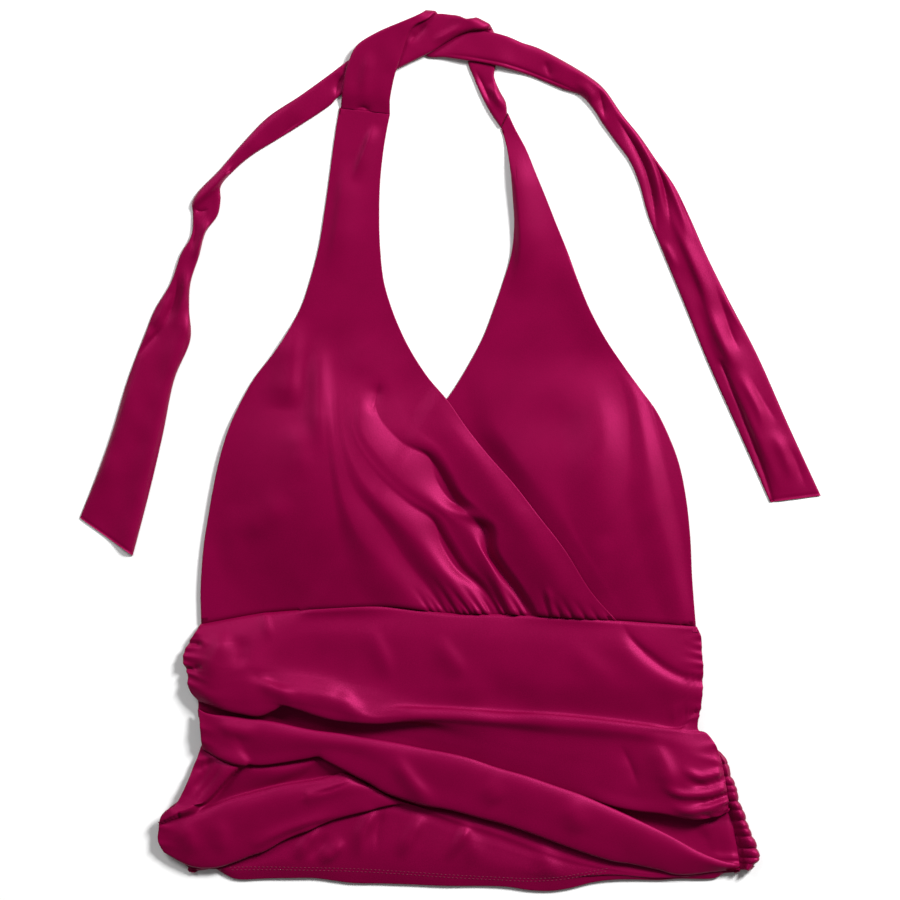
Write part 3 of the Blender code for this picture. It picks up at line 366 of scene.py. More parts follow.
PLEAT_END = 1.6         # a pleat has died out at this many of its reaches
PLEAT_FALL = 1.5        # power with which it does so

WAIST_CREASES = (
    (0.9, 3.5, 4, ((-129.5, -116), (-128, -122), (-125, -134)), "end"),
    (2, 4, 5, ((-134.5, -155.5), (-127.5, -164), (-116, -169.5), (-105, -173))),
    (1.6, 5, 8, ((-59, -120.5), (-50.5, -136.5), (-45, -148.5), (-43.5, -164))),
    (1.5, 5, 8, ((-11, -129), (-3, -140), (5.5, -151), (8.5, -161))),
    (1.2, 5, 9, ((113, -121), (119, -133), (125, -141), (135, -150.5), (147, -158.5), (160, -164.5),
        (173, -167)), "start"),
    (-2.6, 2.4, 5, ((119, -118), (124, -127.5), (130, -135), (140, -144), (150.5, -152), (162.5, -158),
        (173, -160.5), (179, -160.5)), "start"),
    (1.4, 4, 1.1, ((155.5, -189), (157.5, -185), (164, -182.5), (175, -181.5)), "start"),
    (-1.5, 2, 2, ((156, -187.5), (161, -184), (168, -182.8), (176, -183)), "start"),
    (2.4, 5, 7, ((-40.5, -211.5), (-32, -224), (-21, -237.5), (-8.5, -250.5))),
    (2.6, 3.5, 6, ((-50.5, -249), (-56, -259), (-61.5, -270), (-64.5, -288.5))),
    (2.4, 3.5, 6, ((-89.5, -262), (-99.5, -274.5), (-108, -288.5))),
    (2, 3, 5, ((-73, -271.5), (-81, -281.5), (-92.5, -290))),
    (2.4, 4, 6, ((-17, -253.5), (-26.5, -269), (-36.5, -287))),
    (2, 3, 4, ((14, -260.5), (8.5, -271.5), (-4, -288.5))),
    (-1.6, 3, 4, ((-46, -252), (-50, -264), (-52, -282))),
    (-1.4, 3, 4, ((-84, -268), (-92, -278), (-99, -288))),
    (1.3, 5, 3, ((-65, -228), (-77, -234), (-87, -238), (-98, -241.5)), "start"),
    (-1.3, 2, 2, ((-66, -231), (-78, -235.5), (-88, -238.5), (-100, -240.5))),
    (1.6, 5, 0.8, ((-138.5, -280), (-135, -277), (-126.5, -272), (-113.5, -266), (-98.5, -261),
        (-82.5, -256.5), (-61.5, -252))),
    (6, 1, 17, ((-138, -216), (-142, -218.5), (-152, -225.5), (-160.5, -235), (-169, -244), (-178, -252),
        (-187.5, -255.5)), "start"),
    (-2.4, 1.4, 1.4, ((-140.5, -220), (-150.5, -227.5), (-159, -237), (-168, -246))),
    (-2.6, 2.5, 2.5, ((-166, -219), (-174, -230), (-182, -239.5))),
    (-2, 2, 2.5, ((-158, -219), (-168, -232), (-180, -246.5))),
    (1.2, 3, 3, ((-176, -224), (-183, -234), (-190, -243))),
    (2, 8, 6, ((-152.5, -126.5), (-160, -137), (-166, -152), (-162, -168))),
    (-1.4, 7, 7, ((-143.5, -128), (-147, -141.5), (-144, -154))),
    (2.2, 9, 7, ((-128, -161), (-108, -168), (-84, -172), (-66, -180))),
    (1.2, 5, 6, ((-78, -168), (-70, -178), (-58, -186))),
    (-1.6, 12, 12, ((14, -168), (39, -169.5), (68.5, -175))),
    (1.3, 8, 10, ((77, -133), (98, -150), (119, -168))),
    (1.4, 8, 8, ((21, -231), (29.5, -239.5), (35, -248))),
    (1.4, 8, 8, ((77, -245), (87, -256), (91, -270))),
    (1.6, 7, 8, ((1.5, -263), (14, -274.5), (18, -292.5))),
    (1.6, 7, 8, ((57.5, -278.5), (68.5, -288.5), (71.5, -301))),
    (1.4, 6, 4, ((-164, -190.5), (-150, -196), (-131.5, -198))),
    (1.4, 6, 8, ((-165, -256), (-159.5, -270), (-162.5, -284))),
    (1.6, 6, 8, ((-187.5, -260.5), (-182, -271.5), (-178, -285.5))),
    (2.6, 6, 9, ((138, -198), (146, -212), (152.5, -228), (150, -242))),
    (-1.8, 6, 6, ((118, -204), (126, -220), (132, -238))),
    (-3, 2, 2, ((-171, -137), (-178.5, -135), (-186, -134.5)), "start"),
    (-3, 2, 2.2, ((-172, -151), (-179, -152.5), (-187, -153)), "start"),
    (-2.4, 2, 2, ((-164, -217.5), (-170, -219), (-177, -222)), "start"),
    (1.8, 2.5, 3, ((186, -226), (174, -228), (160, -222)), "end"),
    (-1.8, 2, 2.5, ((189, -231.5), (178, -234), (162, -231)), "end"),
    (2.2, 2.5, 3, ((191, -236), (178, -240), (160, -240), (146, -234)), "end"),
    (-2, 2, 2.5, ((192, -241), (180, -245), (164, -246)), "end"),
    (2.2, 2.5, 3, ((193, -245.5), (181, -250), (166, -252), (152, -248)), "end"),
    (-1.8, 2, 2.5, ((194.5, -258), (184, -257), (170, -252.5)), "end"),
    (1.6, 2, 3, ((197, -264), (184, -266), (170, -262)), "end"),
    (1.6, 2, 3, ((200, -273), (190, -276), (178, -272)), "end"),
    (-1.6, 2, 2.5, ((201, -278.5), (192, -280), (184, -278)), "end"),
)

# Ruching: small ridges that run in from a side seam. Where each leaves it, its height and width,
# how far it runs in and how far it drops on the way.
# Each row: y, height, width, reach, drop
LEFT_RUCHES = (
    (-128, 0.8, 1.8, 12, 5), (-133, 1.1, 1.6, 16, 2), (-138.5, 1.2, 1.5, 12, -2), (-144, 1.2, 1.6, 18, 3),
    (-149.5, 1.1, 1.5, 12, 5), (-155, 1, 1.8, 16, 7), (-163, 0.7, 2.2, 14, 6), (-181, 0.8, 1.4, 8, 2),
    (-194, 0.7, 2, 12, 3), (-203, 0.7, 2, 10, 4), (-218, 1, 1.8, 14, -3), (-226, 1.1, 1.8, 16, 2),
    (-235, 0.9, 2, 14, 5), (-243, 1, 1.8, 16, 6), (-252, 0.9, 1.8, 12, 4), (-263, 0.7, 2, 14, 3),
    (-275, 0.7, 2, 14, 2), (-285, 0.6, 2, 12, 1),
)
RIGHT_RUCHES = (
    (-130, 0.8, 2.2, 14, 3), (-137, 0.9, 1.8, 10, -2), (-143.5, 1, 1.8, 12, -3), (-150, 1.1, 1.8, 14, -2),
    (-157, 0.9, 1.6, 10, -2), (-166, 0.9, 2.2, 16, -5), (-172, 1, 1.8, 18, -3), (-186, 1.4, 1.6, 16, 4),
    (-206, 0.9, 2.2, 16, 3), (-218, 1.2, 1.8, 18, -4), (-225, 1.3, 1.6, 16, 4), (-231, 1.2, 1.6, 22, 8),
    (-238, 1.3, 1.7, 30, 10), (-244.5, 1.3, 1.6, 30, 8), (-250.5, 1.1, 1.5, 24, 3), (-256, 1.1, 1.5, 28, 1),
    (-261.5, 1, 1.5, 26, -2), (-267, 1.1, 1.5, 22, -5), (-273, 1.3, 1.5, 20, -6), (-279, 1.2, 1.5, 16, -5),
    (-285, 1.1, 1.4, 18, -1),
)
RUCHE_END = 1.3         # a ridge has died out at this many of its reaches
RUCHE_FALL = 1.3        # power with which it does so
RUCHE_DROP = 1.5        # and it stops dropping at this many

TIE_LEFT_CREASES = (
    (2.6, 3, 15, ((35, 286), (63, 279), (94.5, 266), (119, 250.5), (140, 227.5), (161, 189))),
    (1.2, 5, 4, ((-54.5, 280), (-59, 263), (-61.5, 242))),
    (-1.4, 5, 4, ((-36.5, 273), (-40.5, 256), (-43.5, 239.5))),
    (-1.6, 3, 3, ((-54.5, 234), (-60, 239.5), (-68.5, 238))),
    (-1.1, 1.2, 1.6, ((-10, 277), (3.5, 276), (21, 273.5), (44, 268.5), (67, 260), (90.5, 249.5),
        (101, 241.5))),
    (-1.4, 4, 3, ((66, 273), (68.5, 266), (71.5, 257.5))),
    (1.3, 4, 3, ((87, 259), (96.5, 250.5), (102, 242))),
    (-2, 4, 3, ((103.5, 253.5), (106.5, 242), (109, 229.5))),
    (-2.8, 2, 2.6, ((113.5, 236.5), (123, 222.5), (133.5, 204.5), (140, 186), (143.5, 165), (145.5, 143))),
    (2.2, 3, 3, ((123, 229.5), (134.5, 213), (143, 196), (147.5, 175), (150, 157))),
    (-2.8, 2.4, 2.6, ((130, 221), (141.5, 204.5), (148.5, 189), (152.5, 171), (155.5, 150))),
    (2, 3, 3, ((137, 213), (148.5, 197.5), (157, 179), (164, 159.5), (168, 143))),
    (-2.2, 2.5, 3, ((145.5, 200), (155.5, 186), (164, 168), (172, 147))),
    (2.4, 6, 3, ((152.5, 171), (161, 151), (169.5, 131.5), (178, 110.5), (183.5, 92.5))),
    (1.2, 3, 2.5, ((147, 147), (153, 137), (159, 124))),
    (3.2, 12, 4.5, ((173.5, 127.5), (180.5, 98), (190.5, 68.5), (201.5, 40.5), (215.5, 10), (228, -18),
        (235, -38))),
    (-2, 3, 3, ((185, 117.5), (192, 96.5), (197.5, 80), (203, 68.5))),
    (1.8, 3, 3, ((190.5, 112), (199, 96.5), (206, 84))),
    (-2.6, 1.6, 2.2, ((190.5, 60), (196, 46), (204.5, 25), (214, 0), (222.5, -25), (225.5, -36.5)), "none"),
    (-1.6, 6, 6, ((168, 131), (176, 105), (186, 77), (199, 46), (211, 18))),
    (1.8, 5, 3, ((175, 112), (183, 90), (193, 69), (202, 54))),
    (1.6, 5, 3, ((199, 57), (209, 41), (217, 25), (220, 10))),
    (-1.3, 4, 4, ((208, 55), (218, 36), (230, 18))),
    (1.5, 5, 4, ((224, 15), (234, -4), (241, -24))),
    (-1.2, 4, 4, ((234, 8), (243, -10), (249, -28))),
)
TIE_RIGHT_CREASES = (
    (1.8, 3, 11, ((-9, 302), (10.5, 301), (28, 294), (45, 286))),
    (1.2, 6, 5, ((-96.5, 248), (-117.5, 234), (-138.5, 215.5), (-158, 194.5))),
    (-1.4, 4, 4, ((-92.5, 238), (-113.5, 224), (-136, 204.5), (-154, 185))),
    (-2.4, 3, 3, ((-74, 263), (-78.5, 256), (-80, 246.5))),
    (2.4, 2.5, 5, ((-157, 193), (-168, 182), (-178, 173.5), (-180.5, 171)), "none"),
    (-1.2, 2.4, 3, ((-180.5, 170), (-175, 167), (-168, 168.5))),
    (2, 2.5, 3, ((-171, 164), (-171, 152.5), (-175, 141.5), (-180.5, 131.5))),
    (-1.2, 2.5, 2.5, ((-178, 164), (-179, 150), (-182, 138.5))),
    (2, 3, 3, ((-185, 131.5), (-185, 116), (-187.5, 101), (-194.5, 84))),
    (-2.2, 3, 3, ((-190.5, 126), (-192, 110.5), (-196, 96.5), (-203, 81))),
    (1.6, 3, 3, ((-196, 112), (-201.5, 96.5), (-210, 81))),
    (-2.2, 1.4, 2.6, ((-219, 64.5), (-213, 73), (-206, 81), (-200, 89.5))),
    (2, 3, 4, ((-222.5, 68.5), (-214, 78.5), (-208.5, 88))),
    (3.4, 14, 3.5, ((-206, 86), (-220, 52), (-231, 22), (-242, -8), (-251, -34), (-259, -56))),
    (3.2, 3, 11, ((-183, 84), (-193, 52), (-203, 18), (-211, -14), (-217, -44), (-224, -76)), "none"),
    (-1.2, 3, 3, ((-183.5, 84), (-186, 70), (-194.5, 56))),
    (1.2, 3, 4, ((-14, 284), (0, 291), (12.5, 297))),
    (-2, 4, 3, ((-29.5, 284), (-22.5, 291), (-15.5, 299.5))),
    (2, 3, 3, ((28, 257.5), (32, 248), (38.5, 236.5))),
    (-1.8, 3, 3, ((17, 267.5), (24, 253.5), (29.5, 239.5))),
)

# The soft unevenness of the cloth: direction, frequency and shift of each of its waves
WAVES = ((0.3, 1.0, 0.4), (1.5, 1.37, 2.1), (2.4, 0.81, 4.0), (3.6, 1.73, 5.2))
WAVE_BEND = 1.1

# The hem's two rows of stitches, as small sunk threads
STITCH_LENGTH = 2.1
STITCH_STEP = 2.9       # from the start of one stitch to the next
STITCH_WIDTH = 0.34
STITCH_SIDES = 6
STITCH_START = 1.0      # where the first stitch of a row begins
# Rings of a stitch: place along it, height over the cloth (below 0 is sunk) and share of its width
STITCH_RINGS = ((0.0, -0.05, 0.4), (0.5, 0.16, 1.0), (1.0, -0.05, 0.4))
HEM_ROWS = (
    ((-156, -291.8), (-130, -291.5), (-95, -292), (-65, -292.8), (-35, -294.5), (0, -297), (31, -298.6),
        (56, -299.6), (76, -298.6), (96, -295.2), (112, -292)),
    ((-154, -293.6), (-130, -293.4), (-95, -293.9), (-65, -294.7), (-35, -296.4), (0, -298.9), (31, -300.5),
        (56, -301.5), (76, -300.5), (96, -297.1), (112, -293.9)),
)

# The turned edge of a panel: how far each of its rings stands out past the edge and up (below 0: down)
TURNED_EDGE = ((0.35, -0.12), (0.55, -0.45), (0.45, -0.85), (0, -1.1), (-1.2, -1.2), (-4, -1.2))
ALL_SIDES = ("left", "right", "top", "bottom")

# The two shades of raspberry that the cloth goes between, and the thread's
SATIN_LOW = (0.142, 0.0002, 0.025)
SATIN_HIGH = (0.182, 0.0003, 0.034)
THREAD = (0.17, 0.0006, 0.034)

# Each sheet as it is cut, of the stretch that shows: width and length in metres, area in square metres,
# and what it lies on
FLAT_SIZES = (
    ("cup_wrap", (0.31, 0.40), 0.0565, ["back_band", "cup_under"]),
    ("cup_under", (0.28, 0.36), 0.049, ["back_band"]),
    ("back_band", (0.35, 0.11), 0.036, ["waist_back"]),
    ("waist_front", (0.42, 0.36), 0.118, ["waist_back"]),
    ("waist_back", (0.41, 0.19), 0.068, ["floor"]),
    ("tie_left", (0.038, 0.48), 0.0145, ["cup_wrap"]),
    ("tie_right", (0.038, 0.50), 0.0145, ["cup_under"]),
)


def smoothstep(low, high, value):
    """0 below low, 1 above high and a soft step between them."""
    part = np.clip((np.asarray(value, float) - low) / (high - low), 0.0, 1.0)
    return part * part * (3.0 - 2.0 * part)


def through(rows, steps):
    """A smooth curve through the rows of a table, with steps points for each span.

    The spans are weighted by their length, so a short one between long ones makes no loop.
    """
    rows = np.asarray(rows, float)
    step = np.diff(rows, axis=0)
    span = np.sqrt(np.linalg.norm(step, axis=-1, keepdims=True)) + 1e-6
    slope = step / span
    tangent = np.concatenate([slope[:1], slope[:1], slope[1:]])
    wide = span[:-1] + span[1:]
    tangent[1:-1] = slope[1:] + slope[:-1] - (rows[2:] - rows[:-2]) / wide
    tangent[-1] = slope[-1]
    out = []
    for t in np.arange(steps) / steps:
        near = rows[:-1] * (2 * t ** 3 - 3 * t ** 2 + 1)
        far = rows[1:] * (3 * t ** 2 - 2 * t ** 3)
        leaving = span * tangent[:-1] * (t ** 3 - 2 * t ** 2 + t)
        arriving = span * tangent[1:] * (t ** 3 - t ** 2)
        out.append(near + far + leaving + arriving)
    curve = np.stack(out, axis=1).reshape(-1, *rows.shape[1:])
    return np.concatenate([curve, rows[-1:]])


def lengths(line):
    """Length along a line up to each of its points."""
    return np.concatenate([[0.0], np.cumsum(np.linalg.norm(np.diff(line, axis=0), axis=1))])


def grid_faces(rows, columns):
    """Four-sided faces of a grid of points."""
    number = np.arange(rows * columns).reshape(rows, columns)
    quads = np.stack([number[:-1, :-1], number[1:, :-1], number[1:, 1:], number[:-1, 1:]], axis=2)
    return quads.reshape(-1, 4).tolist()


def spread(values, places):
    """Values given at even places from 0 to 1, read smoothly at other places."""
    stretch = 1000.0
    knots = np.stack([np.linspace(0.0, 1.0, len(values)) * stretch, np.asarray(values, float)], axis=1)
    fine = through(knots, steps=12)
    return np.interp(np.asarray(places, float) * stretch, fine[:, 0], fine[:, 1])


def seam_height(x):
    """Height of the seam under the bust at a place across the garment."""
    left, right = SEAM_ENDS
    return spread(SEAM_HEIGHTS, (np.asarray(x, float) - left) / (right - left))


def bust_height(x, y):
    """How far the two cups stand up at a point."""
    total = 0.0
    for middle_x, middle_y in (LEFT_CUP, RIGHT_CUP):
        away = ((x - middle_x) / BUST_RADII[0]) ** 2 + ((y - middle_y) / BUST_RADII[1]) ** 2
        total = total + BUST_HEIGHT * np.clip(1.0 - away, 0.0, 1.0) ** 2
    return total


def bed_height(y):
    """Middle of the lowest front layer: on the surface by the straps, on the back band below."""
    on_band = CLOTH * 1.5 + LAYER_GAP
    return CLOTH / 2 + (on_band - CLOTH / 2) * smoothstep(BACK_TOP + BED_CLIMB, BACK_TOP, y)


def hidden_edge(y):
    """The free edge of the lower cup where it runs on under the wrap."""
    table = np.array(UNDER_SECTIONS)
    return np.interp(-y, -table[:, 3], table[:, 2])


def wrap_lift(x, y):
    """How far the wrap is raised where the lower cup lies under it."""
    begins, is_full = -20.0, -4.0
    above_overlap, in_overlap = 60.0, 40.0
    beside = smoothstep(begins, is_full, x - hidden_edge(y))
    return (CLOTH + LAYER_GAP) * beside * smoothstep(above_overlap, in_overlap, y)


def crease_height(x, y, creases):
    """Height of a table's ridges and troughs at each point."""
    total = np.zeros_like(x)
    for height, left, right, path, *ends in creases:
        fade = ends[0] if ends else "both"
        line = through(path, steps=8)
        reach = CREASE_REACH * max(left, right)
        low = line.min(axis=0) - reach
        high = line.max(axis=0) + reach
        near = (x > low[0]) & (x < high[0]) & (y > low[1]) & (y < high[1])
        if not near.any():
            continue
        start = line[:-1]
        leg = line[1:] - start
        away_x = x[near][:, None] - start[:, 0]
        away_y = y[near][:, None] - start[:, 1]
        along = np.clip((away_x * leg[:, 0] + away_y * leg[:, 1]) / (leg ** 2).sum(axis=1), 0.0, 1.0)
        off_x = away_x - along * leg[:, 0]
        off_y = away_y - along * leg[:, 1]
        off = off_x ** 2 + off_y ** 2
        nearest = off.argmin(axis=1)
        each = np.arange(len(nearest))
        side = leg[nearest, 0] * off_y[each, nearest] - leg[nearest, 1] * off_x[each, nearest]
        width = np.where(side > 0.0, left, right)
        place = (nearest + along[each, nearest]) / len(leg)
        if height < 0.0 and max(left, right) < SHARP_WIDTH:
            rise = height * np.exp(-np.sqrt(off[each, nearest]) * SHARP_FALL / width)
        else:
            rise = height * np.exp(-off[each, nearest] / width ** 2)
        if fade in ("start", "both"):
            rise = rise * smoothstep(0.0, FADE_SHARE, place)
        if fade in ("end", "both"):
            rise = rise * smoothstep(1.0, 1.0 - FADE_SHARE, place)
        total[near] += rise
    return total


def loft_height(x, y, lines):
    """Height of a row of fold lines at each point: level with each line, and eased between two."""
    count = 90
    steps = 12
    top_share = 0.16
    over_all = 60.0     # higher than any of the lines
    paths = []
    for _, sharp, points in lines:
        path = through(points, steps=10)
        far = lengths(path[:, :2])
        even = np.linspace(0.0, far[-1], count)
        path = np.stack([np.interp(even, far, path[:, axis]) for axis in range(3)], axis=1)
        path[:, 2] *= smoothstep(0.0, top_share, np.linspace(0.0, 1.0, count))
        paths.append((sharp, path))
    rings = []
    for (sharp_a, first), (sharp_b, second) in zip(paths, paths[1:]):
        part = np.arange(steps) / steps
        soft = part * part * (3.0 - 2.0 * part)
        from_sharp = np.sin(part * math.pi / 2)
        to_sharp = 1.0 - np.cos(part * math.pi / 2)
        ease = soft + sharp_a * (from_sharp - soft) + sharp_b * (to_sharp - soft)
        for place, share in zip(part, ease):
            ring = first + (second - first) * place
            ring[:, 2] = first[:, 2] + (second[:, 2] - first[:, 2]) * share
            rings.append(ring)
    rings.append(paths[-1][1])
    net = np.array(rings)
    tree = BVHTree.FromPolygons(net.reshape(-1, 3).tolist(), grid_faces(len(net), count))
    low, high = net.min(axis=(0, 1)), net.max(axis=(0, 1))
    total = np.zeros_like(x)
    down = Vector((0.0, 0.0, -1.0))
    for index in np.ndindex(x.shape):
        if low[0] < x[index] < high[0] and low[1] < y[index] < high[1]:
            hit = tree.ray_cast(Vector((x[index], y[index], over_all)), down)[0]
            total[index] = hit.z if hit else 0.0
    return total


def soft_waves(x, y, size, height):
    """A faint unevenness that no cloth is without: a few waves in different directions."""
    total = 0.0
    for turn, stretch, shift in WAVES:
        phase = (x * math.cos(turn) + y * math.sin(turn)) * stretch * 2 * math.pi / size + shift
        bend = WAVE_BEND * np.sin((y * math.cos(turn) - x * math.sin(turn)) * math.pi / size + shift * 2)
        total = total + np.sin(phase + bend)
    return height * total / len(WAVES)


def surface_normals(grid):
    """Normal of a grid of points, with its rows running down and its columns to the right."""
    normals = np.cross(np.gradient(grid, axis=0), np.gradient(grid, axis=1))
    return normals / (np.linalg.norm(normals, axis=2, keepdims=True) + 1e-9)


def turned_edge(grid, side):
    """Rows or columns that turn a side of the grid under, as a hemmed edge is."""
    normals = surface_normals(grid)
    if side in ("left", "right"):
        last, inner = (0, 1) if side == "left" else (-1, -2)
        edge, before, normal = grid[:, last], grid[:, inner], normals[:, last]
    else:
        last, inner = (0, 1) if side == "top" else (-1, -2)
        edge, before, normal = grid[last], grid[inner], normals[last]
    out = edge - before
    out = out / (np.linalg.norm(out, axis=1, keepdims=True) + 1e-9)
    rings = [edge + out * far + normal * rise for far, rise in TURNED_EDGE]
    axis = 1 if side in ("left", "right") else 0
    extra = np.stack(rings if last else rings[::-1], axis=axis)
    extra[:, :, 2] = np.maximum(extra[:, :, 2], EDGE_LEAST)
    return np.concatenate([grid, extra] if last else [extra, grid], axis=axis)


def add_mesh(name, points, faces, uvs, material):
    """A smooth mesh object from points and a UV for each point, both in millimetres."""
    shift = np.array([CENTRE[0], CENTRE[1], 0.0])
    mesh = bpy.data.meshes.new(name)
    mesh.from_pydata(((points - shift) * MM).tolist(), [], faces)
    corners = np.zeros(len(mesh.loops), dtype=np.int64)
    mesh.loops.foreach_get("vertex_index", corners)
    layer = mesh.uv_layers.new(name="cloth")
    layer.data.foreach_set("uv", (uvs[corners] * MM).astype(np.float32).ravel())
    mesh.materials.append(material)
    mesh.shade_smooth()
    mesh.update()
    piece = bpy.data.objects.new(name, mesh)
    bpy.context.collection.objects.link(piece)
    return piece


def sheet_mesh(name, grid, sides, material):
    """A thin shell on a grid of points, with the named sides turned under."""
    for side in sides:
        grid = turned_edge(grid, side)
    rows, columns = grid.shape[:2]
    across = np.zeros((rows, columns))
    down = np.zeros((rows, columns))
    across[:, 1:] = np.cumsum(np.linalg.norm(np.diff(grid, axis=1), axis=2), axis=1)
    down[1:] = np.cumsum(np.linalg.norm(np.diff(grid, axis=0), axis=2), axis=0)
    uvs = np.stack([across.ravel(), down.ravel()], axis=1)
    return add_mesh(name, grid.reshape(-1, 3), grid_faces(rows, columns), uvs, material)


def cup_points(sections, columns):
    """Points of a cup between the two ends of its sections, down to the curved seam."""
    table = through(sections, CUP_STEPS)
    places = np.linspace(0.0, 1.0, columns)
    outer = table[:, None, 0:2]
    inner = table[:, None, 2:4]
    spots = outer + (inner - outer) * places[None, :, None]
    x, y = spots[:, :, 0], spots[:, :, 1]
    foot = seam_height(x[-1]) + SEAM_GAP / 2
    hold = smoothstep(*SEAM_HOLD, y)
    y = y + hold * (foot - y[-1])[None, :]
    return x, y


def pleat_height(x, y):
    """The creases between the small pleats where the wrap is gathered into the seam."""
    above = y - seam_height(x)
    total = np.zeros_like(x)
    for place, depth, width, reach, lean in PLEATS:
        line = place - lean * above
        crease = np.exp(-((x - line) / (width * (1.0 + above / reach))) ** 2)
        total -= depth * crease * np.clip(1.0 - above / (reach * PLEAT_END), 0.0, 1.0) ** PLEAT_FALL
    return total


def seam_dip(distance, depth, width):
    """How far a panel sinks as it comes to a seam."""
    return -depth * np.exp(-(distance / width) ** 2)


def make_cup_wrap(material):
    x, y = cup_points(WRAP_SECTIONS, columns=300)
    bed = bed_height(y) + bust_height(x, y)
    lift = wrap_lift(x, y)
    z = bed + lift + CLOTH / 2
    z = z + loft_height(x, y, WRAP_LINES) + crease_height(x, y, WRAP_CREASES)
    z = z + pleat_height(x, y) + soft_waves(x, y, size=70.0, height=0.16)
    z = z + seam_dip(y - seam_height(x), depth=0.9, width=1.3)
    # It may sink only half way to the cup under it, or a little below its form where none is
    no_layer = 0.4
    sunk_most = 1.6
    least = bed + CLOTH / 2 + 0.5 * lift
    z = np.maximum(z, np.maximum(least - sunk_most * (lift < no_layer), FRONT_LEAST))
    grid = np.stack([x, y, z], axis=2)
    return sheet_mesh("cup_wrap_cloth", grid, ALL_SIDES, material)


def make_cup_under(material):
    x, y = cup_points(UNDER_SECTIONS, columns=240)
    bed = bed_height(y) + bust_height(x, y)
    z = bed + CLOTH / 2
    z = z + loft_height(x, y, UNDER_LINES) + crease_height(x, y, UNDER_CREASES)
    z = z + soft_waves(x + 40.0, y, size=64.0, height=0.16)
    z = z + seam_dip(y - seam_height(x), depth=0.9, width=1.3)
    # Below the wrap's top it lies close to its form beside its hidden edge, and may rise further in
    wrap_top = 40.0
    hidden, coming_free = 12.0, 30.0
    highest = 4.0
    free = smoothstep(0.0, coming_free, x - hidden_edge(y) - hidden)
    z = np.where(y < wrap_top, np.minimum(z, bed + CLOTH / 2 + highest * free), z)
    z = np.maximum(z, FRONT_LEAST)
    grid = np.stack([x, y, z], axis=2)[:, ::-1]
    return sheet_mesh("cup_under_cloth", grid, ALL_SIDES, material)


def make_back_band(material):
    inset = 1.2
    rows = np.linspace(0.0, 1.0, 60)
    columns = np.linspace(0.0, 1.0, 160)
    left_edge = np.array(WRAP_SECTIONS)
    right_edge = np.array(UNDER_SECTIONS)
    grid = np.zeros((len(rows), len(columns), 3))
    for index, part in enumerate(rows):
        level = BACK_TOP + (SEAM_HEIGHTS[0] + SEAM_GAP - BACK_TOP) * part
        left = np.interp(-level, -left_edge[:, 1], left_edge[:, 0]) + inset
        right = np.interp(-level, -right_edge[:, 1], right_edge[:, 0]) - inset
        x = left + (right - left) * columns
        grid[index, :, 0] = x
        grid[index, :, 1] = BACK_TOP + (seam_height(x) + SEAM_GAP - BACK_TOP) * part
        grid[index, :, 2] = CLOTH
    return sheet_mesh("back_band_cloth", grid, ALL_SIDES, material)


def ruche_height(x, y, edge_x, ruches, inward):
    """The small ridges that run in from a side seam at edge_x."""
    away = (x - edge_x) * inward
    total = np.zeros_like(x)
    for place, height, width, reach, drop in ruches:
        line = place - drop * np.clip(away / reach, 0.0, RUCHE_DROP)
        ridge = np.exp(-((y - line) / (width * (1.0 + away / (2.0 * reach)))) ** 2)
        total += height * ridge * np.clip(1.0 - away / (RUCHE_END * reach), 0.0, 1.0) ** RUCHE_FALL
    return total


def make_waist_front(material):
    columns = 330
    overhang = 0.8
    places = np.linspace(0.0, 1.0, columns)
    x = SEAM_ENDS[0] - overhang + (SEAM_ENDS[1] - SEAM_ENDS[0] + 2 * overhang) * places
    seam = seam_height(x)
    lift = bed_height(seam) + bust_height(x, seam) + wrap_lift(x, seam)
    lines = [np.stack([x, seam - SEAM_GAP / 2, lift], axis=1)]
    for _, points in WAIST_LINES:
        path = through(points, steps=8)
        x = path[0, 0] + (path[-1, 0] - path[0, 0]) * places
        y = np.interp(x, path[:, 0], path[:, 1])
        z = np.interp(x, path[:, 0], path[:, 2])
        lines.append(np.stack([x, y, z], axis=1))
    grid = through(np.array(lines), steps=9)
    normals = surface_normals(grid)
    x, y = grid[:, :, 0], grid[:, :, 1]
    left_x, right_x = x[:, :1], x[:, -1:]
    rise = crease_height(x, y, WAIST_CREASES) + soft_waves(x, y + 30.0, size=60.0, height=0.3)
    rise = rise + ruche_height(x, y, left_x, LEFT_RUCHES, inward=1.0)
    rise = rise + ruche_height(x, y, right_x, RIGHT_RUCHES, inward=-1.0)
    rise = rise + seam_dip(seam_height(x) - y, depth=0.7, width=1.3)
    # The side seam beside the rolled edge, which begins between these two heights
    seam_starts, seam_full = -205.0, -216.0
    rise = rise + seam_dip(right_x - x, depth=1.4, width=2.2) * smoothstep(seam_starts, seam_full, y)
    # The creases stand on the cloth that faces up, and die out where it turns under
    turned, flat = 0.15, 0.6
    facing = smoothstep(turned, flat, normals[:, :, 2:3])
    grid = grid + normals * (CLOTH / 2 + rise[:, :, None]) * facing
    grid[:, :, 2] = np.maximum(grid[:, :, 2], FRONT_LEAST)
    return sheet_mesh("waist_front_cloth", grid, ALL_SIDES, material)


def roll_section(edge, seam, top, sewn, rolled):
    """Across the rolled edge of the back panel: x and height from the flat cloth to the sewn edge.

    Each point lies a few millimetres in from the edge or the seam, at a share of the rise.
    """
    rise = top - CLOTH
    over = edge - 0.42 * (edge - seam)
    return through([
        (edge - ROLL_WIDTH, CLOTH), (edge - 0.8, CLOTH + 0.1 * rise), (edge, CLOTH + 0.5 * rise),
        (edge - 1.6, top - 0.12 * rise), (over, top), (seam + 1.8, (top + 2.0 * sewn) / 3.0),
        (seam, sewn - 0.4), (seam - ROLL_TUCK, sewn - 2.2 * rolled),
    ], steps=8)


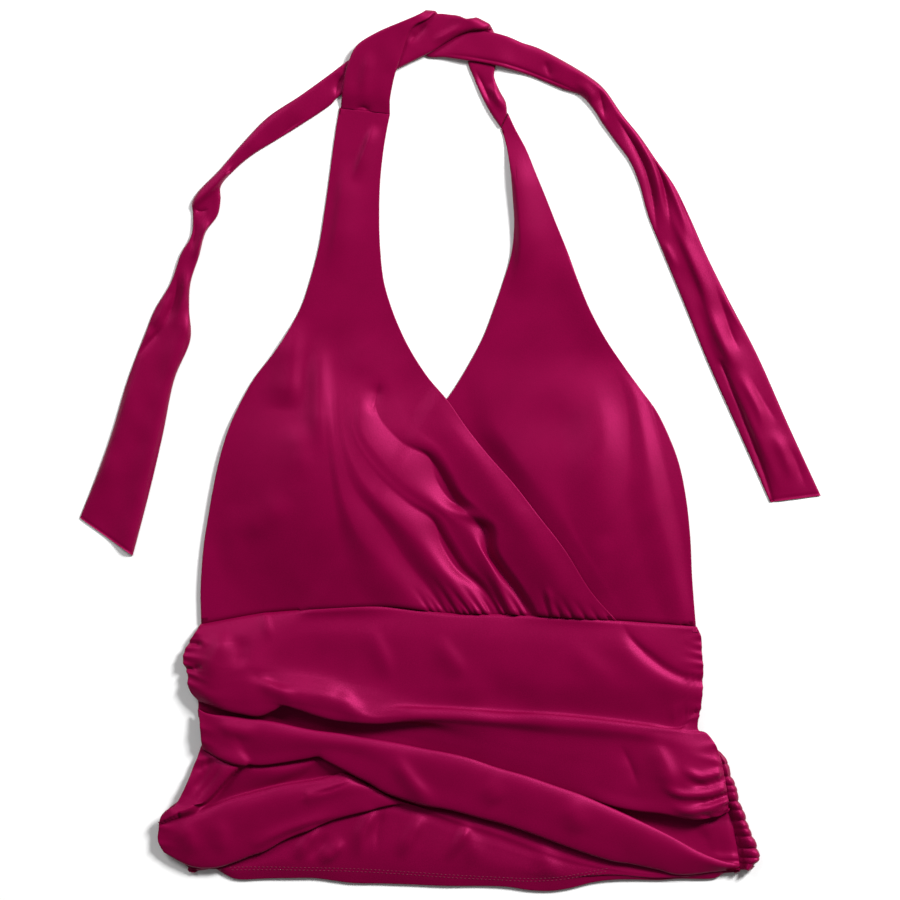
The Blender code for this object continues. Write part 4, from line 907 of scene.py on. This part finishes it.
def make_waist_back(material):
    flat_columns = 70
    roll_columns = 44
    seam_reach = -150.0     # above this height the rows follow the curved seam
    stands_out = 0.5
    pulled_in, pulled_down, seam_down = 0.55, 0.8, 0.5
    table = np.array([(row[0], row[1], row[2], row[3] or row[2] - FLAT_SEAM) for row in BACK_OUTLINE])
    rows = through(table, steps=14)
    meets = np.array(ROLL_SEAM)
    grid = np.zeros((len(rows), flat_columns + roll_columns, 3))
    part = np.linspace(0.0, 1.0, roll_columns)
    for index, (y, left, right, seam) in enumerate(rows):
        rolled = float(smoothstep(ROLL_TOP, ROLL_TOP - ROLL_START, y))
        pull = rolled * sum(deep * math.exp(-abs(y - at) / wide) for at, deep, wide in ROLL_PULLS)
        edge = right + rolled * stands_out - pulled_in * pull
        top = CLOTH + (ROLL_HEIGHT - CLOTH - pulled_down * pull) * rolled
        seam_z = np.interp(-y, -meets[:, 0], meets[:, 1])
        sewn = CLOTH + (seam_z - CLOTH - seam_down * pull) * rolled
        flat = edge - ROLL_WIDTH
        grid[index, :flat_columns, 0] = left + (flat - left) * np.linspace(0.0, 1.0, flat_columns)
        grid[index, :flat_columns, 2] = CLOTH
        curve = roll_section(edge, seam, top, sewn, rolled)
        even = part * (len(curve) - 1)
        grid[index, flat_columns:, 0] = np.interp(even, np.arange(len(curve)), curve[:, 0])
        grid[index, flat_columns:, 2] = np.interp(even, np.arange(len(curve)), curve[:, 1])
        drop = smoothstep(seam_reach, rows[0, 0], y)
        grid[index, :, 1] = y + drop * (seam_height(grid[index, :, 0]) - SEAM_GAP - rows[0, 0])
    grid[:, :, 2] = np.maximum(grid[:, :, 2], BACK_LEAST)
    return sheet_mesh("waist_back_cloth", grid, ("left", "top", "bottom"), material)


def make_stitches(name, cloth, rows, material):
    """Rows of lock stitches on a piece of cloth: short sunk threads, each laid on its surface."""
    mesh = cloth.data
    corners = [vertex.co.copy() for vertex in mesh.vertices]
    tree = BVHTree.FromPolygons(corners, [tuple(face.vertices) for face in mesh.polygons])
    over_all = 0.1      # metres, higher than any of the cloth
    sides = STITCH_SIDES
    points = []
    faces = []
    for path in rows:
        line = through(path, steps=24)
        far = lengths(line)
        for start in np.arange(STITCH_START, far[-1] - STITCH_STEP, STITCH_STEP):
            spine = []
            for share, lift, _ in STITCH_RINGS:
                place = start + share * STITCH_LENGTH
                x = (np.interp(place, far, line[:, 0]) - CENTRE[0]) * MM
                y = (np.interp(place, far, line[:, 1]) - CENTRE[1]) * MM
                spot, normal = tree.ray_cast(Vector((x, y, over_all)), Vector((0.0, 0.0, -1.0)))[:2]
                if spot is None:
                    break
                spine.append(np.array(spot / MM) + np.array(normal) * lift)
            if len(spine) < len(STITCH_RINGS):
                continue
            along = spine[2] - spine[0]
            along /= np.linalg.norm(along) + 1e-9
            side = np.cross(along, (0.0, 0.0, 1.0))
            up = np.cross(side, along)
            base = len(points)
            for middle, (_, _, wide) in zip(spine, STITCH_RINGS):
                for turn in np.arange(sides) * math.pi / (sides / 2):
                    away = side * math.cos(turn) + up * math.sin(turn)
                    points.append(middle + away * wide * STITCH_WIDTH / 2 + np.array([*CENTRE, 0.0]))
            for here in (base, base + sides):
                for step in range(sides):
                    after = (step + 1) % sides
                    faces.append((here + step, here + after, here + sides + after, here + sides + step))
            faces.append(tuple(base + step for step in range(sides - 1, -1, -1)))
            faces.append(tuple(base + 2 * sides + step for step in range(sides)))
    points = np.array(points)
    return add_mesh(name, points, faces, points[:, :2], material)


def make_tie(name, table, creases, material):
    """A flattened tube of cloth between the two edges of its sections, sewn shut at its far end."""
    across = 37
    edges = through(table, steps=22)
    left, right = edges[:, :3], edges[:, 3:]
    middle = (left + right) / 2
    half = (right - left) / 2
    half_width = np.linalg.norm(half, axis=1, keepdims=True)
    normal = np.cross(np.gradient(middle, axis=0), half)
    normal /= np.linalg.norm(normal, axis=1, keepdims=True)
    length = lengths(middle)
    # Places across the tie from -1 to 1, a little closer together at its edges
    bow, bow_share = 0.96, 0.35
    bend = np.sin(np.linspace(-0.5, 0.5, across) * math.pi * bow) / math.sin(bow / 2 * math.pi)
    place = bow_share * bend + (1.0 - bow_share) * np.linspace(-1.0, 1.0, across)
    # Where the tie is squeezed narrower than it lies flat, it is thicker
    lies_flat, squeezed_most, swell = 17.0, 12.0, 0.10
    squeeze = np.clip(lies_flat - half_width[:, 0], 0.0, squeezed_most) * swell
    edge_least = 0.12
    thick = (TIE_CLOTH / 2 + squeeze)[:, None] * (1.0 - np.abs(place[None, :]) ** 8) ** 0.5 + edge_least
    end_round, nearly_shut = 1.2, 0.02
    close = np.clip(np.minimum(length, length[-1] - length) / end_round, nearly_shut, 1.0)
    thick = thick * np.sqrt(1.0 - (1.0 - close) ** 2)[:, None]
    flat = middle[:, None, :] + half[:, None, :] * place[None, :, None]
    x, y = flat[:, :, 0], flat[:, :, 1]
    up = np.sign(normal[:, 2])[:, None]
    on_edge, lies_up = 0.2, 0.6
    facing = smoothstep(on_edge, lies_up, np.abs(normal[:, 2]))[:, None]
    inside = 1.0 - np.abs(place[None, :]) ** 6
    rise = crease_height(x, y, creases) + soft_waves(x, y, size=34.0, height=0.3)
    rise = rise * facing * inside
    over = flat + normal[:, None, :] * (thick + np.where(up > 0, rise, 0.0))[:, :, None]
    under = flat - normal[:, None, :] * (thick + np.where(up > 0, 0.0, rise))[:, :, None]
    rings = np.concatenate([over, under[:, ::-1]], axis=1)
    rings[:, :, 2] = np.maximum(rings[:, :, 2], TIE_LEAST)
    rows, columns = rings.shape[:2]
    number = np.arange(rows * columns).reshape(rows, columns)
    around = np.roll(number, -1, axis=1)
    quads = np.stack([number[:-1], number[1:], around[1:], around[:-1]], axis=2).reshape(-1, 4).tolist()
    for step in range(across - 1):
        face = number[-1][[step, step + 1, columns - 2 - step, columns - 1 - step]]
        quads.append(face.tolist())
    u = np.concatenate([place, 2.0 - place[::-1]])[None, :] * half_width
    v = np.repeat(length[:, None], columns, axis=1)
    uvs = np.stack([u.ravel(), v.ravel()], axis=1)
    return add_mesh(name, rings.reshape(-1, 3), quads, uvs, material)


def knit_material():
    """Satin stretch knit: raspberry, with a soft coloured shine, a fine grain and faint wales."""
    material = bpy.data.materials.new("satin_knit")
    material.use_nodes = True
    nodes, links = material.node_tree.nodes, material.node_tree.links
    shader = nodes["Principled BSDF"]
    cloth = nodes.new("ShaderNodeTexCoord").outputs["UV"]

    def noise(scale, detail):
        node = nodes.new("ShaderNodeTexNoise")
        node.inputs["Scale"].default_value = scale
        node.inputs["Detail"].default_value = detail
        links.new(cloth, node.inputs["Vector"])
        return node.outputs["Fac"]

    def mixed(kind, first, second, share):
        node = nodes.new("ShaderNodeMix")
        node.data_type = "RGBA"
        node.blend_type = kind
        for socket, value in (("A", first), ("B", second)):
            slot = [s for s in node.inputs if s.name == socket and s.type == "RGBA"][0]
            if isinstance(value, tuple):
                slot.default_value = (*value, 1.0)
            else:
                links.new(value, slot)
        factor = [s for s in node.inputs if s.name == "Factor" and s.type == "VALUE"][0]
        if isinstance(share, float):
            factor.default_value = share
        else:
            links.new(share, factor)
        return [s for s in node.outputs if s.type == "RGBA"][0]

    broad = noise(scale=38.0, detail=2.0)
    grain = noise(scale=1500.0, detail=3.0)
    base = mixed("MIX", SATIN_LOW, SATIN_HIGH, broad)
    speck = nodes.new("ShaderNodeValToRGB")
    speck.color_ramp.elements[0].position = 0.3
    speck.color_ramp.elements[0].color = (0.82, 0.82, 0.82, 1.0)
    speck.color_ramp.elements[1].position = 0.7
    speck.color_ramp.elements[1].color = (1.12, 1.12, 1.12, 1.0)
    links.new(grain, speck.inputs["Fac"])
    base = mixed("MULTIPLY", base, speck.outputs["Color"], 1.0)
    links.new(base, shader.inputs["Base Color"])
    wales = nodes.new("ShaderNodeTexWave")
    wales.inputs["Scale"].default_value = 560.0
    wales.inputs["Distortion"].default_value = 1.5
    wales.inputs["Detail"].default_value = 1.0
    links.new(cloth, wales.inputs["Vector"])
    fine = nodes.new("ShaderNodeBump")
    fine.inputs["Strength"].default_value = 0.18
    fine.inputs["Distance"].default_value = 0.0002
    links.new(wales.outputs["Fac"], fine.inputs["Height"])
    rough = nodes.new("ShaderNodeBump")
    rough.inputs["Strength"].default_value = 0.22
    rough.inputs["Distance"].default_value = 0.0003
    links.new(grain, rough.inputs["Height"])
    links.new(fine.outputs["Normal"], rough.inputs["Normal"])
    links.new(rough.outputs["Normal"], shader.inputs["Normal"])
    shader.inputs["Roughness"].default_value = 0.42
    shader.inputs["Specular IOR Level"].default_value = 0.6
    shader.inputs["Specular Tint"].default_value = (1.0, 0.05, 0.32, 1.0)
    shader.inputs["Sheen Weight"].default_value = 0.01
    shader.inputs["Sheen Roughness"].default_value = 0.4
    shader.inputs["Sheen Tint"].default_value = (1.0, 0.12, 0.42, 1.0)
    return material


def plain_material(name, colour, roughness):
    material = bpy.data.materials.new(name)
    material.use_nodes = True
    shader = material.node_tree.nodes["Principled BSDF"]
    shader.inputs["Base Color"].default_value = (*colour, 1.0)
    shader.inputs["Roughness"].default_value = roughness
    return material


def make_floor():
    half = 3.0
    corners = [(-half, -half, 0.0), (half, -half, 0.0), (half, half, 0.0), (-half, half, 0.0)]
    mesh = bpy.data.meshes.new("floor")
    mesh.from_pydata(corners, [], [(0, 1, 2, 3)])
    mesh.materials.append(plain_material("floor_white", colour=(0.9, 0.9, 0.9), roughness=0.9))
    floor = bpy.data.objects.new("floor", mesh)
    bpy.context.collection.objects.link(floor)


def make_light(name, azimuth, elevation, distance, size, power):
    """A square soft light that points at the garment, its azimuth counted from +X towards +Y."""
    data = bpy.data.lights.new(name, "AREA")
    data.energy = power
    data.size = size
    light = bpy.data.objects.new(name, data)
    turn, tilt = math.radians(azimuth), math.radians(elevation)
    away = (math.cos(turn) * math.cos(tilt), math.sin(turn) * math.cos(tilt), math.sin(tilt))
    place = Vector(away) * distance
    light.location = place
    light.rotation_euler = (-place).to_track_quat("-Z", "Y").to_euler()
    bpy.context.collection.objects.link(light)


def make_world(strength):
    world = bpy.data.worlds.new("studio")
    world.use_nodes = True
    sky = world.node_tree.nodes["Background"]
    sky.inputs["Color"].default_value = (1.0, 1.0, 1.0, 1.0)
    sky.inputs["Strength"].default_value = strength
    bpy.context.scene.world = world


def make_camera():
    """Straight above: the frame is 630 mm wide, so a pixel of the photograph is 0.7 mm."""
    height = 3.0
    view_width = 0.63
    data = bpy.data.cameras.new("camera")
    data.sensor_width = 36.0
    data.lens = data.sensor_width * height / view_width
    camera = bpy.data.objects.new("camera", data)
    camera.location = (-CENTRE[0] * MM, -CENTRE[1] * MM, height)
    bpy.context.collection.objects.link(camera)
    bpy.context.scene.camera = camera


def declare(piece, node):
    """Hang a sheet on the frame's root body and hide the solid part of the same node."""
    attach(piece, "root")
    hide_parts(node)


def main():
    make_camera()
    make_world(strength=0.16)
    make_light("key", azimuth=42.0, elevation=35.0, distance=3.0, size=0.8, power=157.0)
    make_light("fill", azimuth=130.0, elevation=38.0, distance=3.0, size=1.2, power=42.0)
    make_floor()
    bpy.context.scene.view_settings.view_transform = "Standard"
    knit = knit_material()
    pieces = {
        "cup_wrap": make_cup_wrap(knit),
        "cup_under": make_cup_under(knit),
        "back_band": make_back_band(knit),
        "waist_front": make_waist_front(knit),
        "waist_back": make_waist_back(knit),
        "tie_left": make_tie("tie_left_cloth", TIE_LEFT, TIE_LEFT_CREASES, knit),
        "tie_right": make_tie("tie_right_cloth", TIE_RIGHT, TIE_RIGHT_CREASES, knit),
    }
    thread = plain_material("thread", colour=THREAD, roughness=0.55)
    hem = make_stitches("hem_stitches", pieces["waist_front"], HEM_ROWS, thread)
    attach(hem, "root")
    for node, flat, area, rests_on in FLAT_SIZES:
        declare(pieces[node], node)


main()
